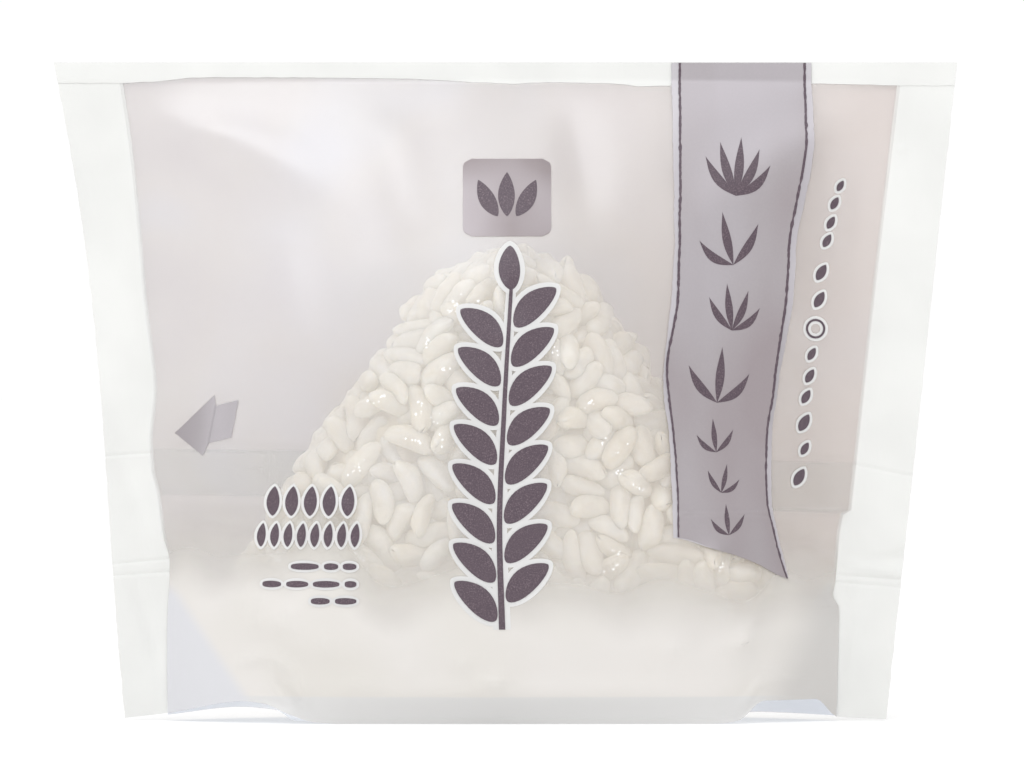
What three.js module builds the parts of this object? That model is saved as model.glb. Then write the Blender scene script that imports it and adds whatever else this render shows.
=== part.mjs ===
// A rice ball sealed in a clear film pouch with a folded foot, standing upright.
// Millimetres, +Z up, front towards -Y, origin on the surface below the middle of the pouch.
// The pouch is one closed solid out to its film: two draped panels, welded side strips,
// a folded head band and a gusset that tucks up at both ends of the foot.
import * as THREE from "three";
import { mergeGeometries, mergeVertices } from "three/addons/utils/BufferGeometryUtils.js";

// Outline of the flat pouch
const PACK_HEIGHT = 102;
const FOOT_HALF_WIDTH = 59;
const HEAD_HALF_WIDTH = 70;
const LEFT_EDGE_BOW = 1.9;

// Welded side strips and the folded band along the head
const SEAL_WIDTH = 9.2;
const SEAL_FOOT_WIDTH = 7.6;
const SEAL_FOOT_HEIGHT = 16;
const SEAL_HALF_THICKNESS = 0.25;
const HEAD_BAND_HEIGHT = 3.3;
const HEAD_HALF_THICKNESS = 0.45;

// The rice ball inside: a rounded triangle with soft edges, sitting on the foot
const BALL_HALF_THICKNESS = 16.6;
const BALL_CORE_APEX_X = 0.8;
const BALL_CORE_APEX_Z = 55;
const BALL_CORE_CORNER_X = 24.6;
const BALL_CORE_CORNER_Z = 19.2;
const BALL_CORNER_RADIUS = 18.3;
const BALL_EDGE_ROUND = 14;
const BALL_FOOT_EDGE_ROUND = 9;
const BALL_FOOT_EDGE_HEIGHT = 25;
const BALL_FACE_POWER = 2.2;
const BALL_FACE_CROWN = 1.4;
const BALL_FACE_MIDDLE_Z = 31;
const BALL_FACE_REACH = 38;
const FILM_OVER_BALL = 0.4;

// Foot of the pouch: flat in the middle, with a gusset that folds up towards the side strips
const FOOT_HALF_DEPTH = 13.5;
const FOOT_FLAT_HALF_WIDTH = 30;
const GUSSET_START_X = 33;
const GUSSET_END_X = 51;
const GUSSET_HEIGHT = 21.5;
const GUSSET_CLOSING = 0.3;
const GUSSET_CLEARANCE = 0.35;

// Places along the front and back foot edges where the film lifts off the surface
const FOOT_LIFTS = [
  { x: -42, height: 2.3, reach: 9 },
  { x: 40, height: 1.2, reach: 7 },
];

// Overlap of the film's own ends, a level band across the back panel
const LAP_LOW_Z = 33.5;
const LAP_HIGH_Z = 41.5;
const LAP_RISE = 0.4;
const LAP_RAMP = 1.2;

// Soft ridges and hollows where the film is pulled between the ball and its seals
const FRONT_FOLDS = [
  { from: [-56, 97], to: [-27, 83], height: 1.1, width: 4.5 },
  { from: [-34, 72], to: [-31, 50], height: 0.8, width: 3.5 },
  { from: [58, 96], to: [30, 78], height: 0.8, width: 5 },
  { from: [-46, 50], to: [-44, 12], height: -0.7, width: 2.6 },
  { from: [40, 46], to: [51, 27], height: 0.7, width: 2.8 },
  { from: [-41, 10], to: [-31, 3], height: 0.8, width: 2.2 },
];
const BACK_FOLDS = [
  { from: [-57, 94], to: [-24, 78], height: 1.0, width: 4.5 },
  { from: [56, 97], to: [26, 82], height: 1.1, width: 4.5 },
  { from: [36, 66], to: [48, 46], height: 0.8, width: 3.5 },
  { from: [-50, 30], to: [-40, 16], height: 0.7, width: 2.6 },
];
const FOLD_END_SHARE = 0.08;
const FOLD_FREE_WIDTH = 6;
const FOLD_FREE_HEIGHT = 3;

// How the film is worked out
const PANEL_COLUMNS = 52;
const SEAL_COLUMNS = 2;
const ROWS = 38;
const ROW_CROWDING = 0.55;
const EDGE_STEPS = 2;
const FILM_BILLOW = 0.012;
const RELAX_PASSES = 900;
const RELAX_PUSH = 1.8;
const MERGE_DISTANCE = 1e-4;

const FRONT = -1;
const BACK = 1;

function clamp01(value) {
  return Math.min(1, Math.max(0, value));
}

function smoothStep(low, high, value) {
  const t = clamp01((value - low) / (high - low));
  return t * t * (3 - 2 * t);
}

// Outer edge of the flat pouch at height z, on the left (-1) or right (1).
function outerEdge(side, z) {
  const t = z / PACK_HEIGHT;
  const bow = side < 0 ? LEFT_EDGE_BOW * Math.sin(Math.PI * t ** 1.5) : 0;
  return side * THREE.MathUtils.lerp(FOOT_HALF_WIDTH, HEAD_HALF_WIDTH, t) + bow;
}

// Where the welded strip ends and the free film begins.
function innerEdge(side, z) {
  const width = THREE.MathUtils.lerp(
    SEAL_FOOT_WIDTH,
    SEAL_WIDTH,
    smoothStep(0, SEAL_FOOT_HEIGHT, z),
  );
  return outerEdge(side, z) - side * width;
}

// Distance from a point to the triangle that the ball's outline is rounded off from.
function distanceToCore(x, z) {
  const point = new THREE.Vector3(x, z, 0);
  const closest = new THREE.Vector3();
  const core = new THREE.Triangle(
    new THREE.Vector3(BALL_CORE_APEX_X, BALL_CORE_APEX_Z, 0),
    new THREE.Vector3(-BALL_CORE_CORNER_X, BALL_CORE_CORNER_Z, 0),
    new THREE.Vector3(BALL_CORE_CORNER_X, BALL_CORE_CORNER_Z, 0),
  );
  core.closestPointToPoint(point, closest);
  return point.distanceTo(closest);
}

// Half thickness of the rice ball at a place on its face, 0 outside its outline.
function ballHalfDepth(x, z) {
  const inside = BALL_CORNER_RADIUS - distanceToCore(x, z);
  if (inside <= 0) return 0;
  const round = THREE.MathUtils.lerp(
    BALL_FOOT_EDGE_ROUND,
    BALL_EDGE_ROUND,
    smoothStep(0, BALL_FOOT_EDGE_HEIGHT, z),
  );
  const from = 1 - clamp01(inside / round);
  const away = Math.hypot(x, z - BALL_FACE_MIDDLE_Z) / BALL_FACE_REACH;
  const face = BALL_HALF_THICKNESS - BALL_FACE_CROWN * away ** 2;
  return face * (1 - from ** BALL_FACE_POWER) ** (1 / BALL_FACE_POWER);
}

// How far from the middle the foot ends, on the side that x is on.
function footEnd(x) {
  return Math.abs(innerEdge(x < 0 ? -1 : 1, 0));
}

// Half depth of the foot, which closes like a boat's bow at each side strip.
function footHalfDepth(x) {
  const end = footEnd(x);
  const along = clamp01((end - Math.abs(x)) / (end - FOOT_FLAT_HALF_WIDTH));
  const opening = Math.sin((Math.PI / 2) * along);
  return SEAL_HALF_THICKNESS + (FOOT_HALF_DEPTH - SEAL_HALF_THICKNESS) * opening;
}

// Height of the gusset's middle fold above the surface.
function gussetFold(x) {
  const reach = Math.abs(x);
  const along = clamp01((reach - GUSSET_START_X) / (GUSSET_END_X - GUSSET_START_X));
  const open = clamp01((footEnd(x) - reach) / GUSSET_CLOSING);
  return GUSSET_HEIGHT * along * open;
}

function footLift(x) {
  let lift = 0;
  for (const { x: middle, height, reach } of FOOT_LIFTS) {
    const away = Math.abs(x - middle) / reach;
    if (away < 1) lift += height * Math.cos((Math.PI / 2) * away) ** 2;
  }
  return lift;
}

// Least half depth of the film: over the ball, and outside the gusset's folded walls.
function filmFloor(x, z) {
  const fold = gussetFold(x);
  const wall = z < fold ? footHalfDepth(x) * (1 - z / fold) + GUSSET_CLEARANCE : 0;
  const ball = ballHalfDepth(x, z);
  return Math.max(SEAL_HALF_THICKNESS, wall, ball > 0 ? ball + FILM_OVER_BALL : 0);
}

// Height of a row of the film, with rows closer together at the foot and the head.
function rowHeight(row) {
  const t = row / ROWS;
  return PACK_HEIGHT * (t - (ROW_CROWDING * Math.sin(2 * Math.PI * t)) / (2 * Math.PI));
}

function panelX(column, z) {
  return THREE.MathUtils.lerp(innerEdge(-1, z), innerEdge(1, z), column / PANEL_COLUMNS);
}

// Half depth of the film at every row and column: a stretched skin that is held at the
// strips, the head and the foot, and is pushed out by the ball and by a little air.
function relaxFilm() {
  const depth = [];
  const floor = [];
  for (let row = 0; row <= ROWS; row++) {
    const z = rowHeight(row);
    depth.push([]);
    floor.push([]);
    for (let column = 0; column <= PANEL_COLUMNS; column++) {
      const x = panelX(column, z);
      floor[row].push(filmFloor(x, z));
      depth[row].push(row === 0 ? footHalfDepth(x) : floor[row][column]);
    }
  }
  for (let pass = 0; pass < RELAX_PASSES; pass++) {
    for (let row = 1; row < ROWS; row++) {
      const z = rowHeight(row);
      if (z > PACK_HEIGHT - HEAD_BAND_HEIGHT) continue;
      const below = z - rowHeight(row - 1);
      const above = rowHeight(row + 1) - z;
      const across = (innerEdge(1, z) - innerEdge(-1, z)) / PANEL_COLUMNS;
      const weight = 2 / across ** 2 + 2 / (below * above);
      for (let column = 1; column < PANEL_COLUMNS; column++) {
        const beside = (depth[row][column - 1] + depth[row][column + 1]) / across ** 2;
        const stacked = depth[row + 1][column] / above + depth[row - 1][column] / below;
        const level = (beside + (2 * stacked) / (above + below) + FILM_BILLOW) / weight;
        const old = depth[row][column];
        depth[row][column] = Math.max(floor[row][column], old + RELAX_PUSH * (level - old));
      }
    }
  }
  return depth;
}

// Height of a fold's ridge at a place, fading out at its ends and to both sides.
function foldRise(fold, x, z) {
  const start = new THREE.Vector2(...fold.from);
  const along = new THREE.Vector2(...fold.to).sub(start);
  const place = new THREE.Vector2(x, z).sub(start);
  const share = clamp01(place.dot(along) / along.lengthSq());
  const away = place.distanceTo(along.clone().multiplyScalar(share));
  const fade = Math.sin(Math.PI * THREE.MathUtils.lerp(FOLD_END_SHARE, 1 - FOLD_END_SHARE, share));
  return fold.height * fade * Math.exp(-((away / fold.width) ** 2));
}

// Rise of the lap seam on the back panel, flat on top with a ramp at each edge.
function lapRise(z) {
  const up = smoothStep(LAP_LOW_Z - LAP_RAMP, LAP_LOW_Z, z);
  const down = smoothStep(LAP_HIGH_Z, LAP_HIGH_Z + LAP_RAMP, z);
  return LAP_RISE * (up - down);
}

const relaxed = relaxFilm();

// Depth of the front or back film from the pouch's middle plane, at a row and column.
function panelDepth(face, column, row) {
  const z = rowHeight(row);
  const x = panelX(column, z);
  const base = relaxed[row][column];
  if (row === 0) return base;
  if (z > PACK_HEIGHT - HEAD_BAND_HEIGHT) return HEAD_HALF_THICKNESS;
  if (column === 0 || column === PANEL_COLUMNS) return SEAL_HALF_THICKNESS;
  const fromEdge = Math.min(x - innerEdge(-1, z), innerEdge(1, z) - x);
  const free = smoothStep(0, FOLD_FREE_WIDTH, fromEdge) * smoothStep(0, FOLD_FREE_HEIGHT, z);
  let rise = face === BACK ? lapRise(z) : 0;
  for (const fold of face === FRONT ? FRONT_FOLDS : BACK_FOLDS) {
    rise += foldRise(fold, x, z);
  }
  return Math.max(filmFloor(x, z), base + free * rise);
}

// A point of the film. Columns run across the whole pouch, strips and panel together.
const COLUMNS = PANEL_COLUMNS + 2 * SEAL_COLUMNS;
function filmPoint(face, column, row) {
  const flat = rowHeight(row);
  const inPanel = column - SEAL_COLUMNS;
  if (inPanel >= 0 && inPanel <= PANEL_COLUMNS) {
    const x = panelX(inPanel, flat);
    const depth = panelDepth(face, inPanel, row);
    const lift = footLift(x) * (1 - smoothStep(0, GUSSET_HEIGHT, flat));
    return new THREE.Vector3(x, face * depth, flat + lift);
  }
  const side = inPanel < 0 ? -1 : 1;
  const inStrip = side < 0 ? -inPanel : inPanel - PANEL_COLUMNS;
  const share = inStrip / SEAL_COLUMNS;
  const x = THREE.MathUtils.lerp(innerEdge(side, flat), outerEdge(side, flat), share);
  const inBand = flat > PACK_HEIGHT - HEAD_BAND_HEIGHT;
  return new THREE.Vector3(x, face * (inBand ? HEAD_HALF_THICKNESS : SEAL_HALF_THICKNESS), flat);
}

// A grid of quads from PlaneGeometry, with each corner moved to the place it is given.
function sheet(across, up, placeAt) {
  const geometry = new THREE.PlaneGeometry(1, 1, across, up);
  const corners = geometry.getAttribute("position");
  for (let i = 0; i < corners.count; i++) {
    const column = i % (across + 1);
    const row = up - Math.floor(i / (across + 1));
    const place = placeAt(column, row);
    corners.setXYZ(i, place.x, place.y, place.z);
  }
  geometry.deleteAttribute("normal");
  geometry.deleteAttribute("uv");
  return geometry;
}

function frontPanel() {
  return sheet(COLUMNS, ROWS, (column, row) => filmPoint(FRONT, column, row));
}

function backPanel() {
  return sheet(COLUMNS, ROWS, (column, row) => filmPoint(BACK, COLUMNS - column, row));
}

// A point between the front and back film, step 0 on one and EDGE_STEPS on the other.
function betweenFaces(face, step, column, row) {
  const start = filmPoint(face, column, row);
  return start.lerp(filmPoint(-face, column, row), step / EDGE_STEPS);
}

// The outer edge of a welded strip.
function stripEdge(side) {
  const column = side < 0 ? 0 : COLUMNS;
  return sheet(EDGE_STEPS, ROWS, (step, row) => betweenFaces(-side, step, column, row));
}

function headEdge() {
  return sheet(COLUMNS, EDGE_STEPS, (column, step) => betweenFaces(FRONT, step, column, ROWS));
}

// The underside: flat in the middle, folded up in an inverted V towards each strip.
function gusset() {
  return sheet(COLUMNS, EDGE_STEPS, (column, step) => {
    const point = betweenFaces(BACK, step, column, 0);
    const inPanel = column > SEAL_COLUMNS && column < COLUMNS - SEAL_COLUMNS;
    const onFold = step === EDGE_STEPS / 2;
    if (onFold && inPanel) point.z = gussetFold(point.x);
    return point;
  });
}

function pouchGeometry() {
  const skin = mergeGeometries([
    frontPanel(),
    backPanel(),
    stripEdge(-1),
    stripEdge(1),
    headEdge(),
    gusset(),
  ]);
  const closed = mergeVertices(skin, MERGE_DISTANCE);
  closed.computeVertexNormals();
  return closed;
}

const film = new THREE.MeshStandardMaterial({
  name: "clear film over rice",
  color: 0xe8e3de,
  roughness: 0.28,
  metalness: 0,
});

const pouch = new THREE.Mesh(pouchGeometry(), film);
pouch.name = "pouch";

const packedRiceBall = new THREE.Group();
packedRiceBall.add(pouch);

export default packedRiceBall;
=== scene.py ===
# A triangular rice ball sealed in a clear film pouch that stands on its folded foot.
# Metres, +Z up, front towards -Y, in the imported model's own frame.
import math

import bmesh
import bpy
import numpy as np
from mathutils import Matrix, Vector, noise


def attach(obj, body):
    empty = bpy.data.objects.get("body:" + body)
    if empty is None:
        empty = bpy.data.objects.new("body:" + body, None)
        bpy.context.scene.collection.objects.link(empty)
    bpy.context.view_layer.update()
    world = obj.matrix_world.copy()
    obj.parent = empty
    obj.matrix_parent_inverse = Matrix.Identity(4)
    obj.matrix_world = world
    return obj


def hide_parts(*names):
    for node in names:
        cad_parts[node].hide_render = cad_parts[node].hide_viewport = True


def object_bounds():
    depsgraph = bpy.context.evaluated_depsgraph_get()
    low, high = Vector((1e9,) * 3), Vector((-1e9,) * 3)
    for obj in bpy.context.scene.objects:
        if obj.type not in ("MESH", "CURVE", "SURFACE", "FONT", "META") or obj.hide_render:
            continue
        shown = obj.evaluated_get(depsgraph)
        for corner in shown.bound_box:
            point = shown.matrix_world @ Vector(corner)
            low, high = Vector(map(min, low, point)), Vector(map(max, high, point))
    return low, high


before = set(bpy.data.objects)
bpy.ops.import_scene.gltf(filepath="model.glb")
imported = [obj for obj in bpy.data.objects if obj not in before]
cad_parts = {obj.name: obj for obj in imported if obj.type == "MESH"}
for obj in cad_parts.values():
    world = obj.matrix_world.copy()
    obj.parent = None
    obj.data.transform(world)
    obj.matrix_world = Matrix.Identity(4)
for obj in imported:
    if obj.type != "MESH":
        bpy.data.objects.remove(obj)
cad_low, cad_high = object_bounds()
PACK_HEIGHT = cad_high.z

# Camera. It stands level with the pouch and far back, so that the strips stay straight.
PIXEL = 0.000155
FRAME_WIDTH = 1024
FRAME_MIDDLE_X = 0.00101
FRAME_MIDDLE_Z = 0.05247
LENS_MM = 300
SENSOR_MM = 36

camera_data = bpy.data.cameras.new("camera")
camera_data.lens = LENS_MM
camera_data.sensor_width = SENSOR_MM
camera_data.clip_end = 60
camera = bpy.data.objects.new("camera", camera_data)
camera_distance = FRAME_WIDTH * PIXEL * LENS_MM / SENSOR_MM
camera.location = (FRAME_MIDDLE_X, -camera_distance, FRAME_MIDDLE_Z)
camera.rotation_euler = (math.radians(90), 0, 0)
bpy.context.scene.collection.objects.link(camera)
bpy.context.scene.camera = camera
bpy.context.scene.view_settings.view_transform = "Standard"

# Floor and studio. A white table top lit from below, an even white room and three large
# soft boxes. The light passes many layers of thin film but bounces only a few times.
FLOOR_HALF_SIZE = 25
FLOOR_GLOW = 0.28
ROOM_LIGHT = 0.80
ROOM_CONTRAST = 0.30
ROOM_BRIGHT_SIDE = (-0.55, -0.35, 0.76)
BACKDROP = 1.02
LAYERS_PASSED = 16
BOUNCES = 3

bpy.context.scene.cycles.transparent_max_bounces = LAYERS_PASSED
bpy.context.scene.cycles.max_bounces = BOUNCES
bpy.context.scene.cycles.diffuse_bounces = BOUNCES - 1
bpy.context.scene.cycles.glossy_bounces = 2


def srgb(red, green, blue):
    """A colour as seen on a screen, 0 to 255, as the linear colour that a shader takes."""
    shares = [value / 255 for value in (red, green, blue)]
    linear = [s / 12.92 if s <= 0.04045 else ((s + 0.055) / 1.055) ** 2.4 for s in shares]
    return (*linear, 1.0)


def feed(tree, socket, value):
    """Links a socket to another one, or sets it to a plain value."""
    if isinstance(value, bpy.types.NodeSocket):
        tree.links.new(value, socket)
    else:
        socket.default_value = value


def add_node(tree, kind, inputs=None, **settings):
    """A shader node with its settings, and its inputs from other sockets or plain values."""
    made = tree.nodes.new("ShaderNode" + kind)
    for name, value in settings.items():
        setattr(made, name, value)
    for name, value in (inputs or {}).items():
        feed(tree, made.inputs[name], value)
    return made


def new_material(name, **sockets):
    """A material with its Principled shader, whose plain sockets are set here."""
    material = bpy.data.materials.new(name)
    material.use_nodes = True
    tree = material.node_tree
    shader = tree.nodes["Principled BSDF"]
    for socket, value in sockets.items():
        shader.inputs[socket.replace("_", " ")].default_value = value
    return material, tree, shader


def link_to(shader, **sockets):
    """Links sockets of a shader, named with _ for a space, to sockets of other nodes."""
    for socket, value in sockets.items():
        shader.id_data.links.new(value, shader.inputs[socket.replace("_", " ")])


def colour_ramp(tree, value, stops):
    """A ramp of (place, colour) stops fed by a value, giving a colour."""
    ramp = add_node(tree, "ValToRGB", {"Fac": value})
    elements = ramp.color_ramp.elements
    while len(elements) < len(stops):
        elements.new(0.5)
    for element, (place, colour) in zip(elements, stops):
        element.position = place
        element.color = colour
    return ramp.outputs["Color"]


def maths(tree, operation, first, second=0.0, third=None):
    """One step of arithmetic on sockets or plain numbers."""
    made = add_node(tree, "Math", operation=operation)
    values = (first, second) if third is None else (first, second, third)
    for socket, value in zip(made.inputs, values):
        feed(tree, socket, value)
    return made.outputs[0]


def noise_of(tree, scale, detail=2.0, stretch=(1, 1, 1), rough=0.5):
    """Noise on the piece's own coordinates in metres, stretched along its axes."""
    place = add_node(tree, "TexCoord").outputs["Object"]
    mapped = add_node(tree, "Mapping", {"Vector": place, "Scale": stretch}).outputs["Vector"]
    look = {"Vector": mapped, "Scale": scale, "Detail": detail, "Roughness": rough}
    return add_node(tree, "TexNoise", look).outputs["Fac"]


floor_mesh = bpy.data.meshes.new("floor")
bm = bmesh.new()
bmesh.ops.create_grid(bm, x_segments=1, y_segments=1, size=FLOOR_HALF_SIZE)
bm.to_mesh(floor_mesh)
bm.free()
floor = bpy.data.objects.new("floor", floor_mesh)
bpy.context.scene.collection.objects.link(floor)
floor_material, tree, shader = new_material(
    "pale_table",
    Roughness=0.9,
    Specular_IOR_Level=0.1,
    Emission_Color=(1, 1, 1, 1),
    Emission_Strength=FLOOR_GLOW,
)
pale_tones = [(0.3, srgb(226, 226, 226)), (0.7, srgb(230, 230, 230))]
link_to(shader, Base_Color=colour_ramp(tree, noise_of(tree, 4), pale_tones))
floor_mesh.materials.append(floor_material)

world = bpy.data.worlds.new("room")
bpy.context.scene.world = world
world.use_nodes = True
tree = world.node_tree
room = tree.nodes["Background"]
room.inputs["Color"].default_value = (1, 1, 1, 1)
towards = add_node(tree, "VectorMath", operation="DOT_PRODUCT")
tree.links.new(add_node(tree, "TexCoord").outputs["Generated"], towards.inputs[0])
towards.inputs[1].default_value = ROOM_BRIGHT_SIDE
lit = maths(tree, "MULTIPLY_ADD", towards.outputs["Value"], ROOM_CONTRAST, ROOM_LIGHT)
seen = add_node(tree, "LightPath").outputs["Is Camera Ray"]
unseen = maths(tree, "SUBTRACT", 1.0, seen)
strength = maths(tree, "MULTIPLY_ADD", seen, BACKDROP, maths(tree, "MULTIPLY", lit, unseen))
link_to(room, Strength=strength)

AIM_HEIGHT = 0.05
COOL, WARM, PLAIN = (0.93, 0.96, 1.0), (1.0, 0.97, 0.94), (1.0, 1.0, 1.0)
SOFT_BOXES = [
    {"name": "key", "at": (-0.20, -0.95, 0.95), "size": 0.70, "power": 4.0, "tint": COOL},
    {"name": "side", "at": (0.75, -0.35, 0.35), "size": 0.35, "power": 0.15, "tint": WARM},
    {"name": "top", "at": (0.05, 0.15, 0.95), "size": 0.45, "power": 0.7, "tint": PLAIN},
]
for box in SOFT_BOXES:
    light_data = bpy.data.lights.new(box["name"], "AREA")
    light_data.size = box["size"]
    light_data.energy = box["power"]
    light_data.color = box["tint"]
    light = bpy.data.objects.new(box["name"], light_data)
    light.location = box["at"]
    aim = Vector((0, 0, AIM_HEIGHT)) - light.location
    light.rotation_euler = aim.to_track_quat("-Z", "Y").to_euler()
    bpy.context.scene.collection.objects.link(light)

# Rice ball. Cooked short-grain rice pressed in a mould: a rounded triangle with flat
# faces. Its outline is a triangle of straight lines rounded off by one radius.
CORE_CORNERS = [(0.0008, 0.0550), (-0.0246, 0.0192), (0.0246, 0.0192)]
CORNER_RADIUS = 0.0183
HALF_THICKNESS = 0.0166
FACE_CROWN = 0.0014
FACE_MIDDLE_Z = 0.031
FACE_REACH = 0.038
EDGE_ROUND = 0.014
FOOT_EDGE_ROUND = 0.009
FOOT_EDGE_HEIGHT = 0.025
FACE_POWER = 2.2
SLOPE_STEP = 1e-4


def smooth_step(low, high, value):
    t = np.clip((value - low) / (high - low), 0, 1)
    return t * t * (3 - 2 * t)


def core_distance(x, z):
    """Distance from places on the face to the triangle inside the ball's outline."""
    nearest = np.full(np.shape(x), np.inf)
    outside = np.zeros(np.shape(x), bool)
    for (ax, az), (bx, bz) in zip(CORE_CORNERS, CORE_CORNERS[1:] + CORE_CORNERS[:1]):
        ex, ez = bx - ax, bz - az
        along = np.clip(((x - ax) * ex + (z - az) * ez) / (ex * ex + ez * ez), 0, 1)
        nearest = np.minimum(nearest, np.hypot(x - ax - along * ex, z - az - along * ez))
        outside |= ex * (z - az) - ez * (x - ax) < 0
    return np.where(outside, nearest, 0)


def ball_level(points):
    """1 on the ball's surface, less inside it and more outside it."""
    x, y, z = points[:, 0], points[:, 1], points[:, 2]
    edge = FOOT_EDGE_ROUND + (EDGE_ROUND - FOOT_EDGE_ROUND) * smooth_step(0, FOOT_EDGE_HEIGHT, z)
    from_face = np.maximum(1 - (CORNER_RADIUS - core_distance(x, z)) / edge, 0)
    away = np.hypot(x, z - FACE_MIDDLE_Z) / FACE_REACH
    from_middle = np.abs(y) / (HALF_THICKNESS - FACE_CROWN * away**2)
    return (from_face**FACE_POWER + from_middle**FACE_POWER) ** (1 / FACE_POWER)


def ball_gap(points):
    """How far points lie outside the ball's surface, and the way out there."""
    level = ball_level(points)
    steps = np.eye(3) * SLOPE_STEP
    slope = np.stack([ball_level(points + s) - ball_level(points - s) for s in steps], axis=1)
    slope /= 2 * SLOPE_STEP
    steepness = np.linalg.norm(slope, axis=1) + 1e-9
    return (level - 1) / steepness, slope / steepness[:, None]


# Grains. Each is a plump, slightly bent grain of cooked rice, about 8 mm long, laid at
# random in two layers and pushed apart until it only presses into its neighbours.
GRAIN_LENGTH = 0.0079
GRAIN_WIDTH = 0.0039
LENGTH_SPREAD = (0.80, 1.12)
WIDTH_SPREAD = (0.84, 1.10)
LAYERS = [
    {"depth": 0.0, "count": 660},
    {"depth": 0.0025, "count": 540},
]
BALL_BOX = ((-0.043, -0.017, 0.001), (0.043, 0.017, 0.0735))
TRIES = 4000
SCATTER_BAND = 0.0004
SETTLE_PASSES = 110
PASSES_PER_SEARCH = 8
PUSHED_SHARE = 0.45
TURNED_SHARE = 0.5
SUNK_SHARE = 0.5
LEVELLED_SHARE = 0.35
NEIGHBOUR_REACH = 0.0105
PRESSED = 0.78
BEADS = np.array([-1.0, 0.0, 1.0])
BEAD_SPACING = 0.29
END_BEAD = 0.84
PROUD_SPREAD = 0.00032
PROUD_LIMITS = (-0.0004, 0.0010)
GRAIN_TILT = 0.30
GRAINS_LOWEST = 0.0004
rng = np.random.default_rng(7)


def unit(vectors):
    return vectors / np.linalg.norm(vectors, axis=1, keepdims=True)


def scatter_on_ball(count, depth):
    """Random places at a depth under the ball's surface."""
    found = np.zeros((0, 3))
    while len(found) < count:
        tries = rng.uniform(*BALL_BOX, (TRIES, 3))
        gap, _ = ball_gap(tries)
        found = np.concatenate([found, tries[np.abs(gap + depth) < SCATTER_BAND]])
    return found[:count]


def settle_grains():
    """Centres, axes, lengths, widths and layer depths of all grains, at rest."""
    depth = np.concatenate([np.full(layer["count"], layer["depth"]) for layer in LAYERS])
    total = len(depth)
    width = GRAIN_WIDTH * rng.uniform(*WIDTH_SPREAD, total)
    length = GRAIN_LENGTH * rng.uniform(*LENGTH_SPREAD, total)
    proud = rng.normal(0, PROUD_SPREAD, total).clip(*PROUD_LIMITS)
    rest_depth = depth + width / 2 + proud
    centre = np.concatenate(
        [scatter_on_ball(layer["count"], layer["depth"] + GRAIN_WIDTH / 2) for layer in LAYERS]
    )
    tilt = rng.normal(0, GRAIN_TILT, total)
    _, out = ball_gap(centre)
    axis = rng.normal(0, 1, (total, 3))
    axis = unit(axis - out * np.sum(axis * out, axis=1, keepdims=True) + 1e-6)
    reach = (length * BEAD_SPACING)[:, None]
    radius = (width / 2)[:, None] * np.where(BEADS == 0, 1.0, END_BEAD)[None, :]
    for step in range(SETTLE_PASSES):
        if step % PASSES_PER_SEARCH == 0:
            apart = np.linalg.norm(centre[:, None] - centre[None], axis=2)
            first, second = np.nonzero(np.triu(apart < NEIGHBOUR_REACH, 1))
        bead = centre[:, None] + axis[:, None] * (reach * BEADS)[:, :, None]
        between = bead[first][:, :, None] - bead[second][:, None]
        gap = np.linalg.norm(between, axis=3) + 1e-9
        clear = PRESSED * (radius[first][:, :, None] + radius[second][:, None])
        push = between * (np.maximum(clear - gap, 0) / gap)[..., None] * 0.5
        moved = np.zeros((total, 3, 3))
        on_first, on_second = push.sum(axis=2), push.sum(axis=1)
        for bead_index in range(3):
            for k in range(3):
                moved[:, bead_index, k] += np.bincount(first, on_first[:, bead_index, k], total)
                moved[:, bead_index, k] -= np.bincount(second, on_second[:, bead_index, k], total)
        centre = centre + PUSHED_SHARE * moved.mean(axis=1)
        axis = unit(axis + TURNED_SHARE * (moved * BEADS[None, :, None]).sum(axis=1) / reach)
        gap, out = ball_gap(centre)
        centre = centre - out * ((gap + rest_depth) * SUNK_SHARE)[:, None]
        lean = np.sum(axis * out, axis=1) - tilt
        axis = unit(axis - LEVELLED_SHARE * out * lean[:, None])
    return centre, axis, length, width, depth


grain_centre, grain_axis, grain_length, grain_width, grain_depth = settle_grains()


# One grain's form, in shares of its length and width, and how much grains differ.
BLUNTNESS = 2.6
BELLY, TAPER, FLATTENED = 0.95, 0.09, 0.94
NOTCH_PLACE, NOTCH_REACH, NOTCH_DEPTH = 0.86, 0.18, 0.12
BEND_SPREAD = (0.01, 0.13)
BEND_SHIFT = 0.35
FLAT_SPREAD = (0.84, 1.06)
SWELLINGS = [(0.00013, (1300.0, 1100.0, 1250.0), 3), (0.00005, (2900.0, -2300.0, 2600.0), 1)]


def grain_form(segments, rings):
    """One grain on the X axis, 1 long and 1 wide: blunt at one end, notched at the other."""
    bm = bmesh.new()
    bmesh.ops.create_uvsphere(bm, u_segments=segments, v_segments=rings, radius=0.5)
    bmesh.ops.rotate(bm, verts=bm.verts, matrix=Matrix.Rotation(math.radians(90), 3, "Y"))
    for v in bm.verts:
        along = 2 * v.co.x
        round_end = math.sqrt(max(1 - along**2, 1e-6))
        blunt = math.sqrt(max(1 - abs(along) ** BLUNTNESS, 0)) / round_end
        belly = (blunt if abs(along) < 0.999 else 1) * (BELLY + TAPER * along)
        v.co.y *= belly
        v.co.z *= belly * FLATTENED
        notch = math.exp(-((along - NOTCH_PLACE) / NOTCH_REACH) ** 2)
        v.co.z -= NOTCH_DEPTH * notch * (v.co.z > 0)
    bmesh.ops.recalc_face_normals(bm, faces=bm.faces)
    bm.verts.ensure_lookup_table()
    corners = np.array([v.co for v in bm.verts])
    faces = [[v.index for v in face.verts] for face in bm.faces]
    bm.free()
    return corners, faces


def smooth(mesh):
    """The mesh with its faces shaded as one smooth skin."""
    mesh.polygons.foreach_set("use_smooth", np.ones(len(mesh.polygons), bool))
    return mesh


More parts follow.
